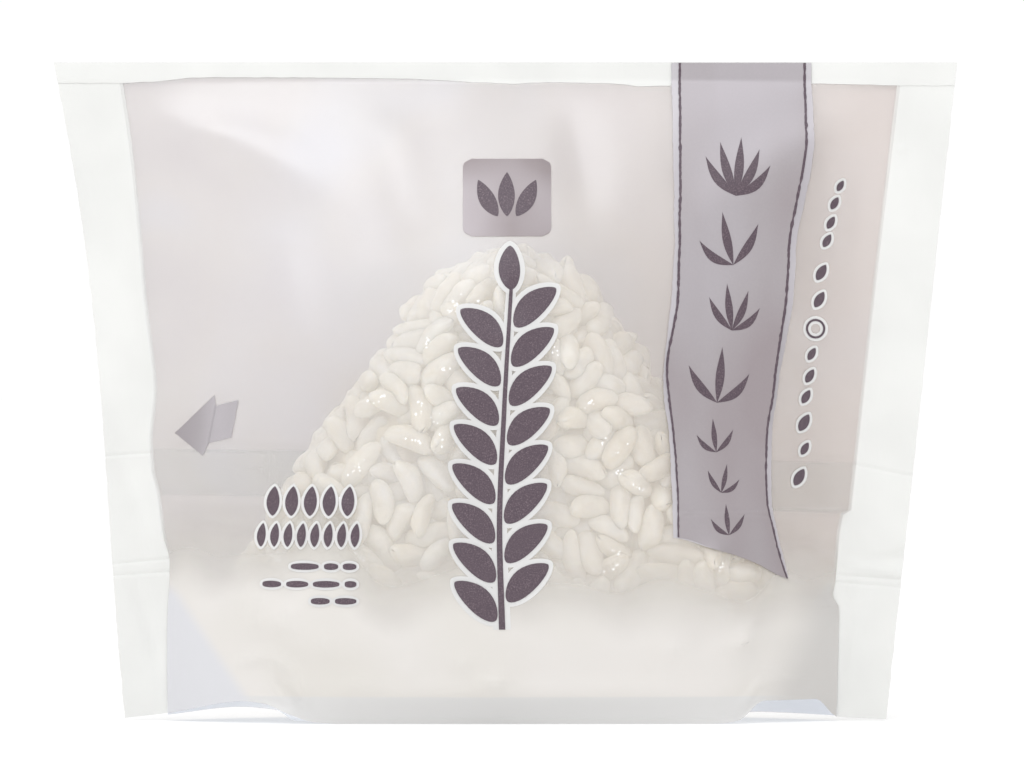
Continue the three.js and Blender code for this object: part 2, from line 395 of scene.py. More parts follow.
def grains_mesh(name, chosen, segments, rings):
    """All chosen grains as one joined mesh, each with its own bend, swelling and tone."""
    corners, faces = grain_form(segments, rings)
    count = len(chosen)
    axis, length, width = grain_axis[chosen], grain_length[chosen], grain_width[chosen]
    side = unit(np.cross(axis, unit(rng.normal(0, 1, (count, 3)))))
    up = np.cross(axis, side)
    bend = rng.uniform(*BEND_SPREAD, count) * length
    flat = rng.uniform(*FLAT_SPREAD, (count, 1))
    x = corners[None, :, 0] * rng.choice([-1, 1], (count, 1))
    across = corners[None, :, 1] * width[:, None]
    high = corners[None, :, 2] * width[:, None] * flat - bend[:, None] * (2 * x) ** 2
    along = x * length[:, None]
    mirrored = x[:, 0] * corners[0, 0] < 0
    across = np.where(mirrored[:, None], -across, across)
    co = grain_centre[chosen][:, None] + bend[:, None, None] * BEND_SHIFT * up[:, None]
    co = co + along[..., None] * axis[:, None]
    co = co + across[..., None] * side[:, None] + high[..., None] * up[:, None]
    swelling = sum(
        height * np.sin(co @ np.array(waves) + shift * chosen[:, None])
        for height, waves, shift in SWELLINGS
    )
    outwards = ball_gap(co.reshape(-1, 3))[1].reshape(co.shape)
    co = co + outwards * swelling[..., None]
    lift = np.maximum(GRAINS_LOWEST - co[..., 2].min(axis=1), 0)
    co[..., 2] += lift[:, None]
    mesh = bpy.data.meshes.new(name)
    size = len(corners)
    joined = [[v + size * g for v in face] for g in range(count) for face in faces]
    mesh.from_pydata(co.reshape(-1, 3).tolist(), [], joined)
    tone = mesh.attributes.new("tone", "FLOAT", "POINT")
    tone.data.foreach_set("value", np.repeat(rng.uniform(0, 1, count), size).astype(np.float32))
    mesh.update()
    return smooth(mesh)


def bump(tree, height, strength, distance):
    """Fine relief of a surface, as a normal for its shader."""
    relief = {"Height": height, "Strength": strength, "Distance": distance}
    return add_node(tree, "Bump", relief).outputs["Normal"]


def blend_colours(tree, share, first, second, blend="MIX"):
    """A mix of two colours, each a socket or a plain colour, by a share from 0 to 1."""
    made = add_node(tree, "Mix", data_type="RGBA", blend_type=blend)
    colours = [socket for socket in made.inputs if socket.type == "RGBA"]
    for socket, value in zip([made.inputs[0], *colours], (share, first, second)):
        feed(tree, socket, value)
    return next(socket for socket in made.outputs if socket.type == "RGBA")


# Painted glow: the rice and its core emit a faint warm light that stands for light scattered through
# the grains.
PAINTED_GLOW_TINT = srgb(255, 249, 234)
RICE_PAINTED_GLOW = 0.14


def rice_material():
    """Moist cooked starch: milky white, painted clearer and warmer where a grain turns away from view,
    with a faint painted glow.
    """
    material, tree, shader = new_material(
        "cooked_rice",
        Subsurface_Weight=0.85,
        Subsurface_Scale=0.0040,
        Subsurface_Radius=(1.0, 0.88, 0.70),
        Specular_IOR_Level=0.4,
        Coat_Roughness=0.10,
        Emission_Color=PAINTED_GLOW_TINT,
        Emission_Strength=RICE_PAINTED_GLOW,
    )
    tone = add_node(tree, "Attribute", attribute_name="tone").outputs["Fac"]
    cloud = noise_of(tree, 420, 3)
    mixed = maths(tree, "MULTIPLY_ADD", cloud, 0.7, maths(tree, "MULTIPLY", tone, 0.3))
    whites = [(0.25, srgb(204, 196, 181)), (0.50, srgb(209, 203, 191)), (0.75, srgb(215, 211, 202))]
    milky = colour_ramp(tree, mixed, whites)
    # Painted translucency: where a grain turns away from the view, its colour is blended clearer and
    # warmer, as if lit through its edge.
    turned = add_node(tree, "LayerWeight", {"Blend": 0.35}).outputs["Facing"]
    painted_clear_edge = maths(tree, "MULTIPLY", turned, 0.35)
    link_to(
        shader,
        Base_Color=blend_colours(tree, painted_clear_edge, milky, srgb(238, 230, 204)),
        Roughness=maths(tree, "MULTIPLY_ADD", cloud, 0.25, 0.18),
        Coat_Weight=maths(tree, "MULTIPLY_ADD", tone, 0.25, 0.05),
        Normal=bump(tree, noise_of(tree, 1500, 3), 0.12, 0.0003),
    )
    return material


def show(mesh, material):
    """A finished mesh as a piece of the pouch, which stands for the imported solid."""
    piece = bpy.data.objects.new(mesh.name, mesh)
    bpy.context.scene.collection.objects.link(piece)
    piece.data.materials.append(material)
    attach(piece, "root")
    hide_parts("pouch")
    return piece


def mesh_places(mesh):
    """The places of all corners of a mesh."""
    places = np.empty(len(mesh.vertices) * 3, np.float32)
    mesh.vertices.foreach_get("co", places)
    return places.reshape(-1, 3).astype(float)


rice = rice_material()
outer = np.nonzero(grain_depth == 0)[0]
front_grains = outer[grain_centre[outer, 1] < 0]
back_grains = outer[grain_centre[outer, 1] >= 0]
under_grains = np.nonzero(grain_depth > 0)[0]
rice_skin = []
for name, chosen, segments, rings in (
    ("rice_grains_front", front_grains, 18, 13),
    ("rice_grains_back", back_grains, 14, 9),
    ("rice_grains_under", under_grains, 12, 9),
):
    grains = grains_mesh(name, chosen, segments, rings)
    rice_skin.append(mesh_places(grains))
    show(grains, rice)
rice_skin = np.concatenate(rice_skin)

# Rice core. The pressed inside of the ball, seen only in the gaps between grains, where
# it looks warmer. It is one lumpy body a little smaller than the ball.
CORE_DEPTH = 0.0038
CORE_START_RADIUS = 0.010
CORE_STRETCH = (3.2, 1.1, 2.6)
CORE_MIDDLE = (0, 0, 0.032)
LUMP_SCALE = 330
LUMP_HEIGHT = 0.0009
FIT_PASSES = 40
FIT_STEP = 0.004
FIT_SHARE = 0.6


def core_mesh():
    bm = bmesh.new()
    bmesh.ops.create_icosphere(bm, subdivisions=6, radius=CORE_START_RADIUS)
    points = np.array([v.co for v in bm.verts]) * CORE_STRETCH + CORE_MIDDLE
    lumps = np.array([noise.noise(Vector(p) * LUMP_SCALE) for p in points]) * LUMP_HEIGHT
    for _ in range(FIT_PASSES):
        gap, out = ball_gap(points)
        move = np.clip(gap + CORE_DEPTH - lumps, -FIT_STEP, FIT_STEP) * FIT_SHARE
        points = points - out * move[:, None]
    for v, place in zip(bm.verts, points):
        v.co = place
    bmesh.ops.recalc_face_normals(bm, faces=bm.faces)
    mesh = bpy.data.meshes.new("rice_core")
    bm.to_mesh(mesh)
    bm.free()
    return smooth(mesh)


def core_material():
    """The shaded inside of the ball: its warm tone and a faint painted glow stand for light that has
    passed through the rice.
    """
    material, tree, shader = new_material(
        "pressed_rice",
        Specular_IOR_Level=0.3,
        Emission_Color=PAINTED_GLOW_TINT,
        Emission_Strength=RICE_PAINTED_GLOW,
    )
    shade = noise_of(tree, 420, 3)
    tones = [(0.3, srgb(206, 194, 170)), (0.6, srgb(216, 206, 188))]
    link_to(
        shader,
        Base_Color=colour_ramp(tree, shade, tones),
        Roughness=maths(tree, "MULTIPLY_ADD", shade, 0.3, 0.3),
        Normal=bump(tree, noise_of(tree, 600, 3), 0.6, 0.0006),
    )
    return material


show(core_mesh(), core_material())

# Pouch outline. Two layers of film are welded along both sides and folded over at the
# head. The welds narrow and widen a little, as the heated bars leave them.
FOOT_HALF_WIDTH = 0.059
HEAD_HALF_WIDTH = 0.070
LEFT_EDGE_BOW = 0.0019
SEAL_HALF_THICKNESS = 0.00025
SEAL_WIDTHS = {
    -1: [(0, 0.0067), (0.0171, 0.0081), (0.0218, 0.0087), (0.0250, 0.0089), (0.0283, 0.0082),
         (0.0353, 0.0076), (0.0393, 0.0070), (0.0421, 0.0070), (0.0528, 0.0084), (0.0649, 0.0081),
         (0.0757, 0.0085), (0.0889, 0.0092), (0.102, 0.0097)],
    1: [(0, 0.0077), (0.0126, 0.0088), (0.0174, 0.0092), (0.0196, 0.0104), (0.0215, 0.0102),
        (0.0286, 0.0103), (0.0322, 0.0100), (0.0326, 0.0089), (0.0605, 0.0089), (0.102, 0.0084)],
}
HEAD_BAND = 0.0034


def through(points, value):
    """A smooth line through (place, value) points that never swings past them."""
    places, values = np.array(points, float).T
    secants = np.diff(values) / np.diff(places)
    before, after = secants[:-1], secants[1:]
    turns = before * after <= 0
    middle = np.where(turns, 0, 2 * before * after / np.where(turns, 1, before + after))
    slopes = np.concatenate([secants[:1], middle, secants[-1:]])
    at = np.clip(value, places[0], places[-1])
    i = np.clip(np.searchsorted(places, at, side="right") - 1, 0, len(places) - 2)
    span = places[i + 1] - places[i]
    t = (at - places[i]) / span
    start = (1 + 2 * t) * (1 - t) ** 2 * values[i] + t * (1 - t) ** 2 * span * slopes[i]
    end = t * t * (3 - 2 * t) * values[i + 1] + t * t * (t - 1) * span * slopes[i + 1]
    return start + end


def outer_edge(side, z):
    t = np.clip(z / PACK_HEIGHT, 0, 1)
    bow = LEFT_EDGE_BOW * np.sin(np.pi * t**1.5) if side < 0 else 0
    return side * (FOOT_HALF_WIDTH + (HEAD_HALF_WIDTH - FOOT_HALF_WIDTH) * t) + bow


def inner_edge(side, z):
    return outer_edge(side, z) - side * through(SEAL_WIDTHS[side], z)


# Film over the rice. The panels are a skin held at the welds, the head and the foot, and
# pushed out by the grains and a little air. Soft folds run where the film is pulled.
FOOT_HALF_DEPTH = 0.0135
FOOT_FLAT_HALF_WIDTH = 0.030
GUSSET_START_X = 0.033
GUSSET_END_X = 0.051
GUSSET_HEIGHT = 0.0215
GUSSET_CLEARANCE = 0.00035
FOOT_LINES = {
    -1: [(-0.0590, 0.0004), (-0.0523, 0.0012), (-0.0402, 0.0034), (-0.0372, 0.0031),
         (-0.0330, 0.0014), (-0.0295, 0.0003), (-0.0250, 0), (0.0310, 0), (0.0357, 0.0005),
         (0.0398, 0.0035), (0.0480, 0.0035), (0.0515, 0.0006), (0.0590, 0.0002)],
    1: [(-0.0590, 0.0004), (-0.0523, 0.0009), (-0.0420, 0.0018), (-0.0330, 0.0008), (-0.0270, 0),
        (0.0310, 0), (0.0400, 0.0010), (0.0500, 0.0008), (0.0590, 0.0002)],
}
FOOT_LINE_REACH = 0.020
HEAD_HALF_THICKNESS = 0.0004
PANEL_COLUMNS = 156
PANEL_ROWS = 144
FILM_BILLOW = 11.0
FILM_OVER_GRAINS = 0.00022
RELAX_PASSES = 700
RELAX_PUSH = 1.88
FRONT, BACK = -1, 1
HELD_AT_WELD, HELD_AT_FOOT, HELD_AT_HEAD = (0, 0.006), (0, 0.0015), (0.090, 0.0985)


def foot_end(x):
    return np.abs(np.where(np.asarray(x) < 0, inner_edge(-1, 0.0), inner_edge(1, 0.0)))


def foot_half_depth(x):
    end = foot_end(x)
    along = np.clip((end - np.abs(x)) / (end - FOOT_FLAT_HALF_WIDTH), 0, 1)
    return SEAL_HALF_THICKNESS + (FOOT_HALF_DEPTH - SEAL_HALF_THICKNESS) * np.sin(np.pi / 2 * along)


def gusset_fold(x):
    along = np.clip((np.abs(x) - GUSSET_START_X) / (GUSSET_END_X - GUSSET_START_X), 0, 1)
    return GUSSET_HEIGHT * along


def foot_lift(face, x, z=0.0):
    """How far the foot's edge lifts off the table, fading out above it."""
    return through(FOOT_LINES[face], x) * (1 - smooth_step(0, FOOT_LINE_REACH, z))


row_z = np.linspace(0, PACK_HEIGHT, PANEL_ROWS + 1)
row_left, row_right = inner_edge(-1, row_z), inner_edge(1, row_z)
share_across = np.linspace(0, 1, PANEL_COLUMNS + 1)
panel_x = row_left[:, None] + (row_right - row_left)[:, None] * share_across[None, :]
panel_z = np.broadcast_to(row_z[:, None], panel_x.shape)


def grains_reach(face):
    """How far the rice stands out from the middle plane near each corner of the film."""
    reach = np.zeros(panel_x.shape)
    x, y, z = rice_skin[rice_skin[:, 1] * face > 0].T
    row = np.clip(np.rint(z / PACK_HEIGHT * PANEL_ROWS).astype(int), 0, PANEL_ROWS)
    share = (x - row_left[row]) / (row_right[row] - row_left[row])
    column = np.clip(np.rint(share * PANEL_COLUMNS).astype(int), 0, PANEL_COLUMNS)
    np.maximum.at(reach, (row, column), np.abs(y))
    ringed = np.pad(reach, 1)
    rows, columns = reach.shape
    shifts = [ringed[up:up + rows, over:over + columns] for up in range(3) for over in range(3)]
    return np.max(shifts, axis=0)


def relax_film(face):
    """Half depth of one panel at rest over the rice, the least it can be, and the rice."""
    fold = gusset_fold(panel_x)
    wall = foot_half_depth(panel_x) * (1 - panel_z / np.maximum(fold, 1e-6)) + GUSSET_CLEARANCE
    floor_depth = np.where(panel_z < fold, wall, SEAL_HALF_THICKNESS)
    rice_reach = grains_reach(face)
    over_rice = np.where(rice_reach > 0, rice_reach + FILM_OVER_GRAINS, 0)
    floor_depth = np.maximum(floor_depth, over_rice)
    depth = floor_depth.copy()
    depth[0] = foot_half_depth(panel_x[0])
    depth[:, 0] = depth[:, -1] = SEAL_HALF_THICKNESS
    banded = row_z > PACK_HEIGHT - HEAD_BAND
    depth[banded] = HEAD_HALF_THICKNESS
    across = ((row_right - row_left) / PANEL_COLUMNS)[1:-1, None] ** 2
    tall = (PACK_HEIGHT / PANEL_ROWS) ** 2
    weight = 2 / across + 2 / tall
    free = ~banded[1:-1, None] & np.ones((1, PANEL_COLUMNS - 1), bool)
    parity = np.add.outer(np.arange(PANEL_ROWS - 1), np.arange(PANEL_COLUMNS - 1)) % 2
    least = floor_depth[1:-1, 1:-1]
    for _ in range(RELAX_PASSES):
        for colour in (0, 1):
            now = depth[1:-1, 1:-1]
            beside = (depth[1:-1, :-2] + depth[1:-1, 2:]) / across
            stacked = (depth[:-2, 1:-1] + depth[2:, 1:-1]) / tall
            level = (beside + stacked + FILM_BILLOW) / weight
            moved = np.maximum(least, now + RELAX_PUSH * (level - now))
            chosen = free & (parity == colour)
            now[chosen] = moved[chosen]
    return depth, floor_depth, rice_reach


# Soft ridges and hollows of the panels: from, to, height and width of each.
FOLDS = {
    FRONT: [
        ((-0.056, 0.097), (-0.027, 0.083), 0.0011, 0.0045),
        ((-0.034, 0.072), (-0.031, 0.050), 0.0008, 0.0035),
        ((-0.049, 0.090), (-0.046, 0.062), 0.0006, 0.0030),
        ((-0.020, 0.098), (-0.013, 0.074), 0.0007, 0.0045),
        ((0.010, 0.098), (0.013, 0.078), -0.0006, 0.0035),
        ((0.058, 0.096), (0.030, 0.078), 0.0008, 0.0050),
        ((0.050, 0.090), (0.052, 0.056), 0.0006, 0.0030),
        ((-0.046, 0.050), (-0.044, 0.012), -0.0007, 0.0026),
        ((0.040, 0.046), (0.051, 0.027), 0.0007, 0.0028),
        ((0.0445, 0.0273), (0.0487, 0.0246), 0.0006, 0.0014),
        ((-0.0317, 0.0046), (0.0357, 0.0046), 0.0009, 0.0022),
        ((-0.0410, 0.0066), (-0.0365, 0.0090), 0.0006, 0.0012),
        ((-0.0365, 0.0090), (-0.0322, 0.0068), 0.0006, 0.0012),
        ((-0.0322, 0.0068), (-0.0303, 0.0020), 0.0006, 0.0012),
        ((-0.0362, 0.0052), (-0.0312, 0.0014), -0.0006, 0.0010),
        ((0.0360, 0.0020), (0.0405, 0.0036), 0.0006, 0.0012),
        ((0.0405, 0.0036), (0.0485, 0.0036), 0.0006, 0.0012),
    ],
    BACK: [
        ((-0.057, 0.094), (-0.024, 0.078), 0.0010, 0.0045),
        ((0.056, 0.097), (0.026, 0.082), 0.0011, 0.0045),
        ((0.036, 0.066), (0.048, 0.046), 0.0008, 0.0035),
        ((-0.050, 0.030), (-0.040, 0.016), 0.0007, 0.0026),
    ],
}
FOLD_END_SHARE = 0.08
LAP_LOW = [(-0.052, 0.0350), (0.052, 0.0320)]
LAP_HIGH = [(-0.052, 0.0422), (0.052, 0.0400)]
LAP_RISE = 0.0004
LAP_RAMP = 0.0010
TOUCH_GAPS = (0.0004, 0.0024)
TOUCH_BLURS = 4


def fold_rise(fold, x, z):
    (ax, az), (bx, bz), height, width = fold
    ex, ez = bx - ax, bz - az
    share = np.clip(((x - ax) * ex + (z - az) * ez) / (ex * ex + ez * ez), 0, 1)
    away = np.hypot(x - ax - share * ex, z - az - share * ez)
    fade = np.sin(np.pi * (FOLD_END_SHARE + (1 - 2 * FOLD_END_SHARE) * share))
    return height * fade * np.exp(-((away / width) ** 2))


def lap_height(line, x):
    (ax, az), (bx, bz) = line
    return az + (bz - az) * (x - ax) / (bx - ax)


def lap_share(x, z):
    """1 where the back panel's two edges overlap, 0 above and below."""
    low, high = lap_height(LAP_LOW, x), lap_height(LAP_HIGH, x)
    return smooth_step(low - LAP_RAMP, low, z) * (1 - smooth_step(high, high + LAP_RAMP, z))


def dressed_depth(face):
    """Half depth of a panel with its folds, and how closely it lies on the rice."""
    depth, least, rice_reach = relax_film(face)
    from_edge = np.minimum(panel_x - row_left[:, None], row_right[:, None] - panel_x)
    free = smooth_step(*HELD_AT_WELD, from_edge) * smooth_step(*HELD_AT_FOOT, panel_z)
    free = free * (1 - smooth_step(*HELD_AT_HEAD, panel_z))
    rise = sum(fold_rise(fold, panel_x, panel_z) for fold in FOLDS[face])
    if face == BACK:
        rise = rise + LAP_RISE * lap_share(panel_x, panel_z)
    dressed = np.maximum(least, depth + free * rise)
    touch = np.where(rice_reach > 0, 1 - smooth_step(*TOUCH_GAPS, dressed - rice_reach), 0)
    for _ in range(TOUCH_BLURS):
        beside = touch[1:-1, :-2] + touch[1:-1, 2:] + touch[:-2, 1:-1] + touch[2:, 1:-1]
        touch[1:-1, 1:-1] = 0.4 * touch[1:-1, 1:-1] + 0.15 * beside
    return dressed, touch


film_depths, film_touches = {}, {}
for face in (FRONT, BACK):
    film_depths[face], film_touches[face] = dressed_depth(face)


def film_depth(face, x, z):
    """Half depth of a panel's outer face at any place, between the worked-out ones."""
    row = min(max(z / PACK_HEIGHT * PANEL_ROWS, 0), PANEL_ROWS - 1e-6)
    i = int(row)
    up = row - i
    left = row_left[i] * (1 - up) + row_left[i + 1] * up
    right = row_right[i] * (1 - up) + row_right[i + 1] * up
    column = min(max((x - left) / (right - left) * PANEL_COLUMNS, 0), PANEL_COLUMNS - 1e-6)
    j = int(column)
    over = column - j
    depth = film_depths[face]
    low = depth[i, j] * (1 - over) + depth[i, j + 1] * over
    high = depth[i + 1, j] * (1 - over) + depth[i + 1, j + 1] * over
    return low * (1 - up) + high * up


def laid_sheet(name, columns, rows, place_at, touch_at=None):
    """A grid whose corners go where place_at(share across, share up) says."""
    bm = bmesh.new()
    bmesh.ops.create_grid(bm, x_segments=columns, y_segments=rows, size=1)
    shares = [((v.co.x + 1) / 2, (v.co.y + 1) / 2) for v in bm.verts]
    for v, (across, up) in zip(bm.verts, shares):
        v.co = place_at(across, up)
    for edge in bm.edges:
        edge.smooth = not edge.is_boundary
    mesh = bpy.data.meshes.new(name)
    bm.to_mesh(mesh)
    bm.free()
    if touch_at:
        touch = mesh.attributes.new("touch", "FLOAT", "POINT")
        touch.data.foreach_set("value", [touch_at(across, up) for across, up in shares])
    return smooth(mesh)


def show_sheet(mesh, material, thickness, offset=-1.0):
    """A sheet as a piece with a wall, which lies inwards from the modelled face."""
    wall = show(mesh, material).modifiers.new("film_wall", "SOLIDIFY")
    wall.thickness = thickness
    wall.offset = offset
    wall.use_even_offset = True


def panel_cell(face, share, up):
    over = share if face == FRONT else 1 - share
    return round(up * PANEL_ROWS), round(over * PANEL_COLUMNS)


def panel_place(face):
    def place_at(share, up):
        row, column = panel_cell(face, share, up)
        x, z = panel_x[row, column], row_z[row]
        return (x, face * film_depths[face][row, column], z + foot_lift(face, x, z))
    return place_at


def new_group(name, inputs, outputs):
    """An effect that several materials share, with a named socket for each value."""
    group = bpy.data.node_groups.new(name, "ShaderNodeTree")
    for title, value in inputs.items():
        socket = group.interface.new_socket(title, in_out="INPUT", socket_type="NodeSocketFloat")
        socket.default_value = value
    for title in outputs:
        group.interface.new_socket(title, in_out="OUTPUT", socket_type="NodeSocketFloat")
    given = group.nodes.new("NodeGroupInput")
    made = group.nodes.new("NodeGroupOutput")
    return group, given.outputs, made.inputs


def place_of(tree):
    """The piece's own coordinates in metres, as X, Y and Z sockets."""
    place = add_node(tree, "TexCoord").outputs["Object"]
    return add_node(tree, "SeparateXYZ", {"Vector": place}).outputs


def soft_range(tree, value, low, high, start=0.0, end=1.0):
    """Turns low to high into start to end, smoothly at both ends."""
    limits = {"Value": value, "From Min": low, "From Max": high, "To Min": start, "To Max": end}
    return add_node(tree, "MapRange", limits, interpolation_type="SMOOTHSTEP").outputs["Result"]


def use_group(tree, group, **values):
    used = tree.nodes.new("ShaderNodeGroup")
    used.node_tree = group
    for title, value in values.items():
        used.inputs[title.replace("_", " ")].default_value = value
    return used.outputs


def film_relief_group():
    """Long soft pulls of thin printed film, and its fine grain."""
    group, given, made = new_group("film_relief", {"Pull": 1.0}, ["Height", "Grain"])
    grain = noise_of(group, 2400, 0)
    pulled = noise_of(group, 75, 0, stretch=(1, 1, 0.4))
    group.links.new(maths(group, "MULTIPLY", pulled, given["Pull"]), made["Height"])
    group.links.new(grain, made["Grain"])
    return group


FOG_LEFT = (-0.018, -0.030)


def foot_fog_group():
    """White print that thickens towards the foot, with an uneven upper limit."""
    limits = {"Low": 0.0142, "High": 0.0265, "Unevenness": 0.017, "Left Rise": 0.0055}
    group, given, made = new_group("foot_fog", limits, ["Fog", "Cloud"])
    cloud = noise_of(group, 48, 1, rough=0.6)
    place = place_of(group)
    swing = maths(group, "SUBTRACT", cloud, 0.5)
    uneven = maths(group, "MULTIPLY_ADD", swing, given["Unevenness"], place["Z"])
    left_share = soft_range(group, place["X"], *FOG_LEFT)
    uneven = maths(group, "SUBTRACT", uneven, maths(group, "MULTIPLY", left_share, given["Left Rise"]))
    group.links.new(soft_range(group, uneven, given["High"], given["Low"]), made["Fog"])
    group.links.new(cloud, made["Cloud"])
    return group


CREASE_BLUR = 0.0004


def wing_mask_group():
    """1 below the slanting folds of the gusset at both ends, and below the foot crease."""
    sizes = {
        "Left Start": 0.0357, "Left Slope": 1.44, "Left Blur": 0.0042,
        "Right Start": 0.0355, "Right Slope": 2.3, "Right Blur": 0.0190,
        "Top": 0.0222, "Top Blur": 0.0030, "Foot Crease": 0.0044,
    }
    group, given, made = new_group("wing_mask", sizes, ["Wing", "Right", "Foot"])
    place = place_of(group)
    right = maths(group, "GREATER_THAN", place["X"], 0.0)
    chosen = {}
    for title in ("Start", "Slope", "Blur"):
        more = maths(group, "SUBTRACT", given["Right " + title], given["Left " + title])
        chosen[title] = maths(group, "MULTIPLY_ADD", right, more, given["Left " + title])
    from_middle = maths(group, "ABSOLUTE", place["X"])
    outwards = maths(group, "SUBTRACT", from_middle, chosen["Start"])
    slanted = maths(group, "MULTIPLY", outwards, chosen["Slope"])
    below_fold = maths(group, "SUBTRACT", slanted, place["Z"])
    below_top = maths(group, "SUBTRACT", given["Top"], place["Z"])
    below_crease = maths(group, "SUBTRACT", given["Foot Crease"], place["Z"])
    wing = soft_range(group, below_fold, 0.0, chosen["Blur"])
    topped = soft_range(group, below_top, 0.0, given["Top Blur"])
    group.links.new(maths(group, "MULTIPLY", wing, topped), made["Wing"])
    group.links.new(right, made["Right"])
    group.links.new(soft_range(group, below_crease, 0.0, CREASE_BLUR), made["Foot"])
    return group


film_relief = film_relief_group()
foot_fog = foot_fog_group()
wing_mask = wing_mask_group()
FILM_WALL = 0.00010
FILM_MOTTLE = 0.02
# Painted shade: each panel is blended darker and warmer towards its right side.
SHADED_WARM_SIDE = (-0.010, 0.045)
SHADED_WARM_SHARE = 0.7
FILM_BUMP = 0.00006
FILM_PULL = 9.0
FOOT_PRINT_COVER = 0.88
FOOT_PRINT_TOP = 0.0335
FOOT_PRINT_LIFT = 0.00004
FOOT_PRINT_WALL = 0.00002


def film_material(name, tints, haze, cleared, crinkled):
    """Thin film with a faint warm print, clear where it lies on the moist rice, with painted shade
    that makes it darker and warmer towards the right.
    """
    material, tree, shader = new_material(
        name, Specular_IOR_Level=0.9, Coat_Weight=1.0, Coat_IOR=2.2, Coat_Roughness=0.30
    )
    cloud = use_group(tree, foot_fog)["Cloud"]
    touch = add_node(tree, "Attribute", attribute_name="touch").outputs["Fac"]
    hazy = maths(tree, "MULTIPLY_ADD", touch, cleared - haze, haze)
    tinted = colour_ramp(tree, cloud, [(0.36, tints[0]), (0.52, tints[1]), (0.68, tints[2])])
    # Painted shade on the right side of the panel.
    shaded_right_share = soft_range(tree, place_of(tree)["X"], *SHADED_WARM_SIDE, end=SHADED_WARM_SHARE)
    relief = use_group(tree, film_relief, Pull=FILM_PULL)
    link_to(
        shader,
        Alpha=maths(tree, "MULTIPLY_ADD", cloud, FILM_MOTTLE, hazy),
        Base_Color=blend_colours(tree, shaded_right_share, tinted, tints[3]),
        Roughness=maths(tree, "MULTIPLY_ADD", relief["Grain"], 0.08, 0.28),
        Normal=bump(tree, relief["Height"], crinkled, FILM_BUMP),
    )
    return material


def foot_print_material():
    """White ink that thickens towards the foot, greyer on the folds of the gusset, with painted shade
    below the foot crease and on the right wing, and a faint painted glow for light from behind.
    """
    material, tree, shader = new_material(
        "foot_print",
        Specular_IOR_Level=0.6,
        # Painted glow: the white ink emits a little light, as if lit through from behind.
        Emission_Color=srgb(228, 226, 222),
        Emission_Strength=0.10,
    )
    misted = use_group(tree, foot_fog)
    folded = use_group(tree, wing_mask)
    white = maths(tree, "MAXIMUM", misted["Fog"], maths(tree, "MULTIPLY", folded["Wing"], 0.9))
    clouded = [(0.35, srgb(214, 210, 204)), (0.65, srgb(219, 215, 211))]
    fogged = colour_ramp(tree, misted["Cloud"], clouded)
    # Painted shade: below the foot crease, where the film turns under, the ink is greyer.
    shaded_under_crease = blend_colours(tree, folded["Foot"], fogged, srgb(210, 209, 208))
    # The left wing keeps the bluish grey of the folded film. The right wing's warmer grey is painted
    # shade.
    wing_greys_and_right_shade = blend_colours(tree, folded["Right"], srgb(208, 208, 212), srgb(196, 193, 190))
    relief = use_group(tree, film_relief, Pull=FILM_PULL)
    link_to(
        shader,
        Alpha=maths(tree, "MULTIPLY", white, FOOT_PRINT_COVER),
        Base_Color=blend_colours(tree, folded["Wing"], shaded_under_crease, wing_greys_and_right_shade),
        Roughness=maths(tree, "MULTIPLY_ADD", relief["Grain"], 0.16, 0.30),
        Normal=bump(tree, relief["Height"], 0.20, FILM_BUMP),
    )
    return material


front_tints = [
    srgb(229, 225, 227), srgb(234, 230, 230), srgb(235, 233, 239), srgb(232, 220, 214)
]
back_tints = [
    srgb(231, 221, 219), srgb(237, 228, 225), srgb(234, 229, 231), srgb(233, 217, 209)
]
front_film = film_material("film_front", front_tints, 0.22, 0.17, 0.05)
back_film = film_material("film_back", back_tints, 0.66, 0.50, 0.06)
for face, name, material in ((FRONT, "film_front", front_film), (BACK, "film_back", back_film)):
    touches = film_touches[face]
    panel = laid_sheet(
        name,
        PANEL_COLUMNS,
        PANEL_ROWS,
        panel_place(face),
        lambda across, up: touches[panel_cell(face, across, up)],
    )
    show_sheet(panel, material, FILM_WALL)


def foot_print_place(face):
    def place_at(share, up):
        z = up * FOOT_PRINT_TOP
        over = share if face == FRONT else 1 - share
        x = inner_edge(-1, z) * (1 - over) + inner_edge(1, z) * over
        y = film_depth(face, x, z) + FOOT_PRINT_LIFT
        return (x, face * y, z + foot_lift(face, x, z))
    return place_at


foot_print = foot_print_material()
foot_print_rows = round(PANEL_ROWS * FOOT_PRINT_TOP / PACK_HEIGHT)
for face, name in ((FRONT, "foot_print_front"), (BACK, "foot_print_back")):
    printed = laid_sheet(name, PANEL_COLUMNS, foot_print_rows, foot_print_place(face))
    show_sheet(printed, foot_print, FOOT_PRINT_WALL)

# Lap seam. The back panel is one web whose two edges overlap across its middle, where
# the inner layer shows through the front as a greyer band.
LAP_COLUMNS = 110
LAP_ROWS = 12
LAP_SET_IN = 0.00011
LAP_WALL = 0.00005
PLAIN_FILM_BUMP = 0.00008
PLAIN_FILM_PULL = 6.0


def lap_place(share, up):
    across = LAP_LOW[1][0] * (1 - share) + LAP_LOW[0][0] * share
    low, high = lap_height(LAP_LOW, across), lap_height(LAP_HIGH, across)
    z = low + (high - low) * up
    x = inner_edge(1, z) * (1 - share) + inner_edge(-1, z) * share
    return (x, film_depth(BACK, x, z) - LAP_SET_IN, z)


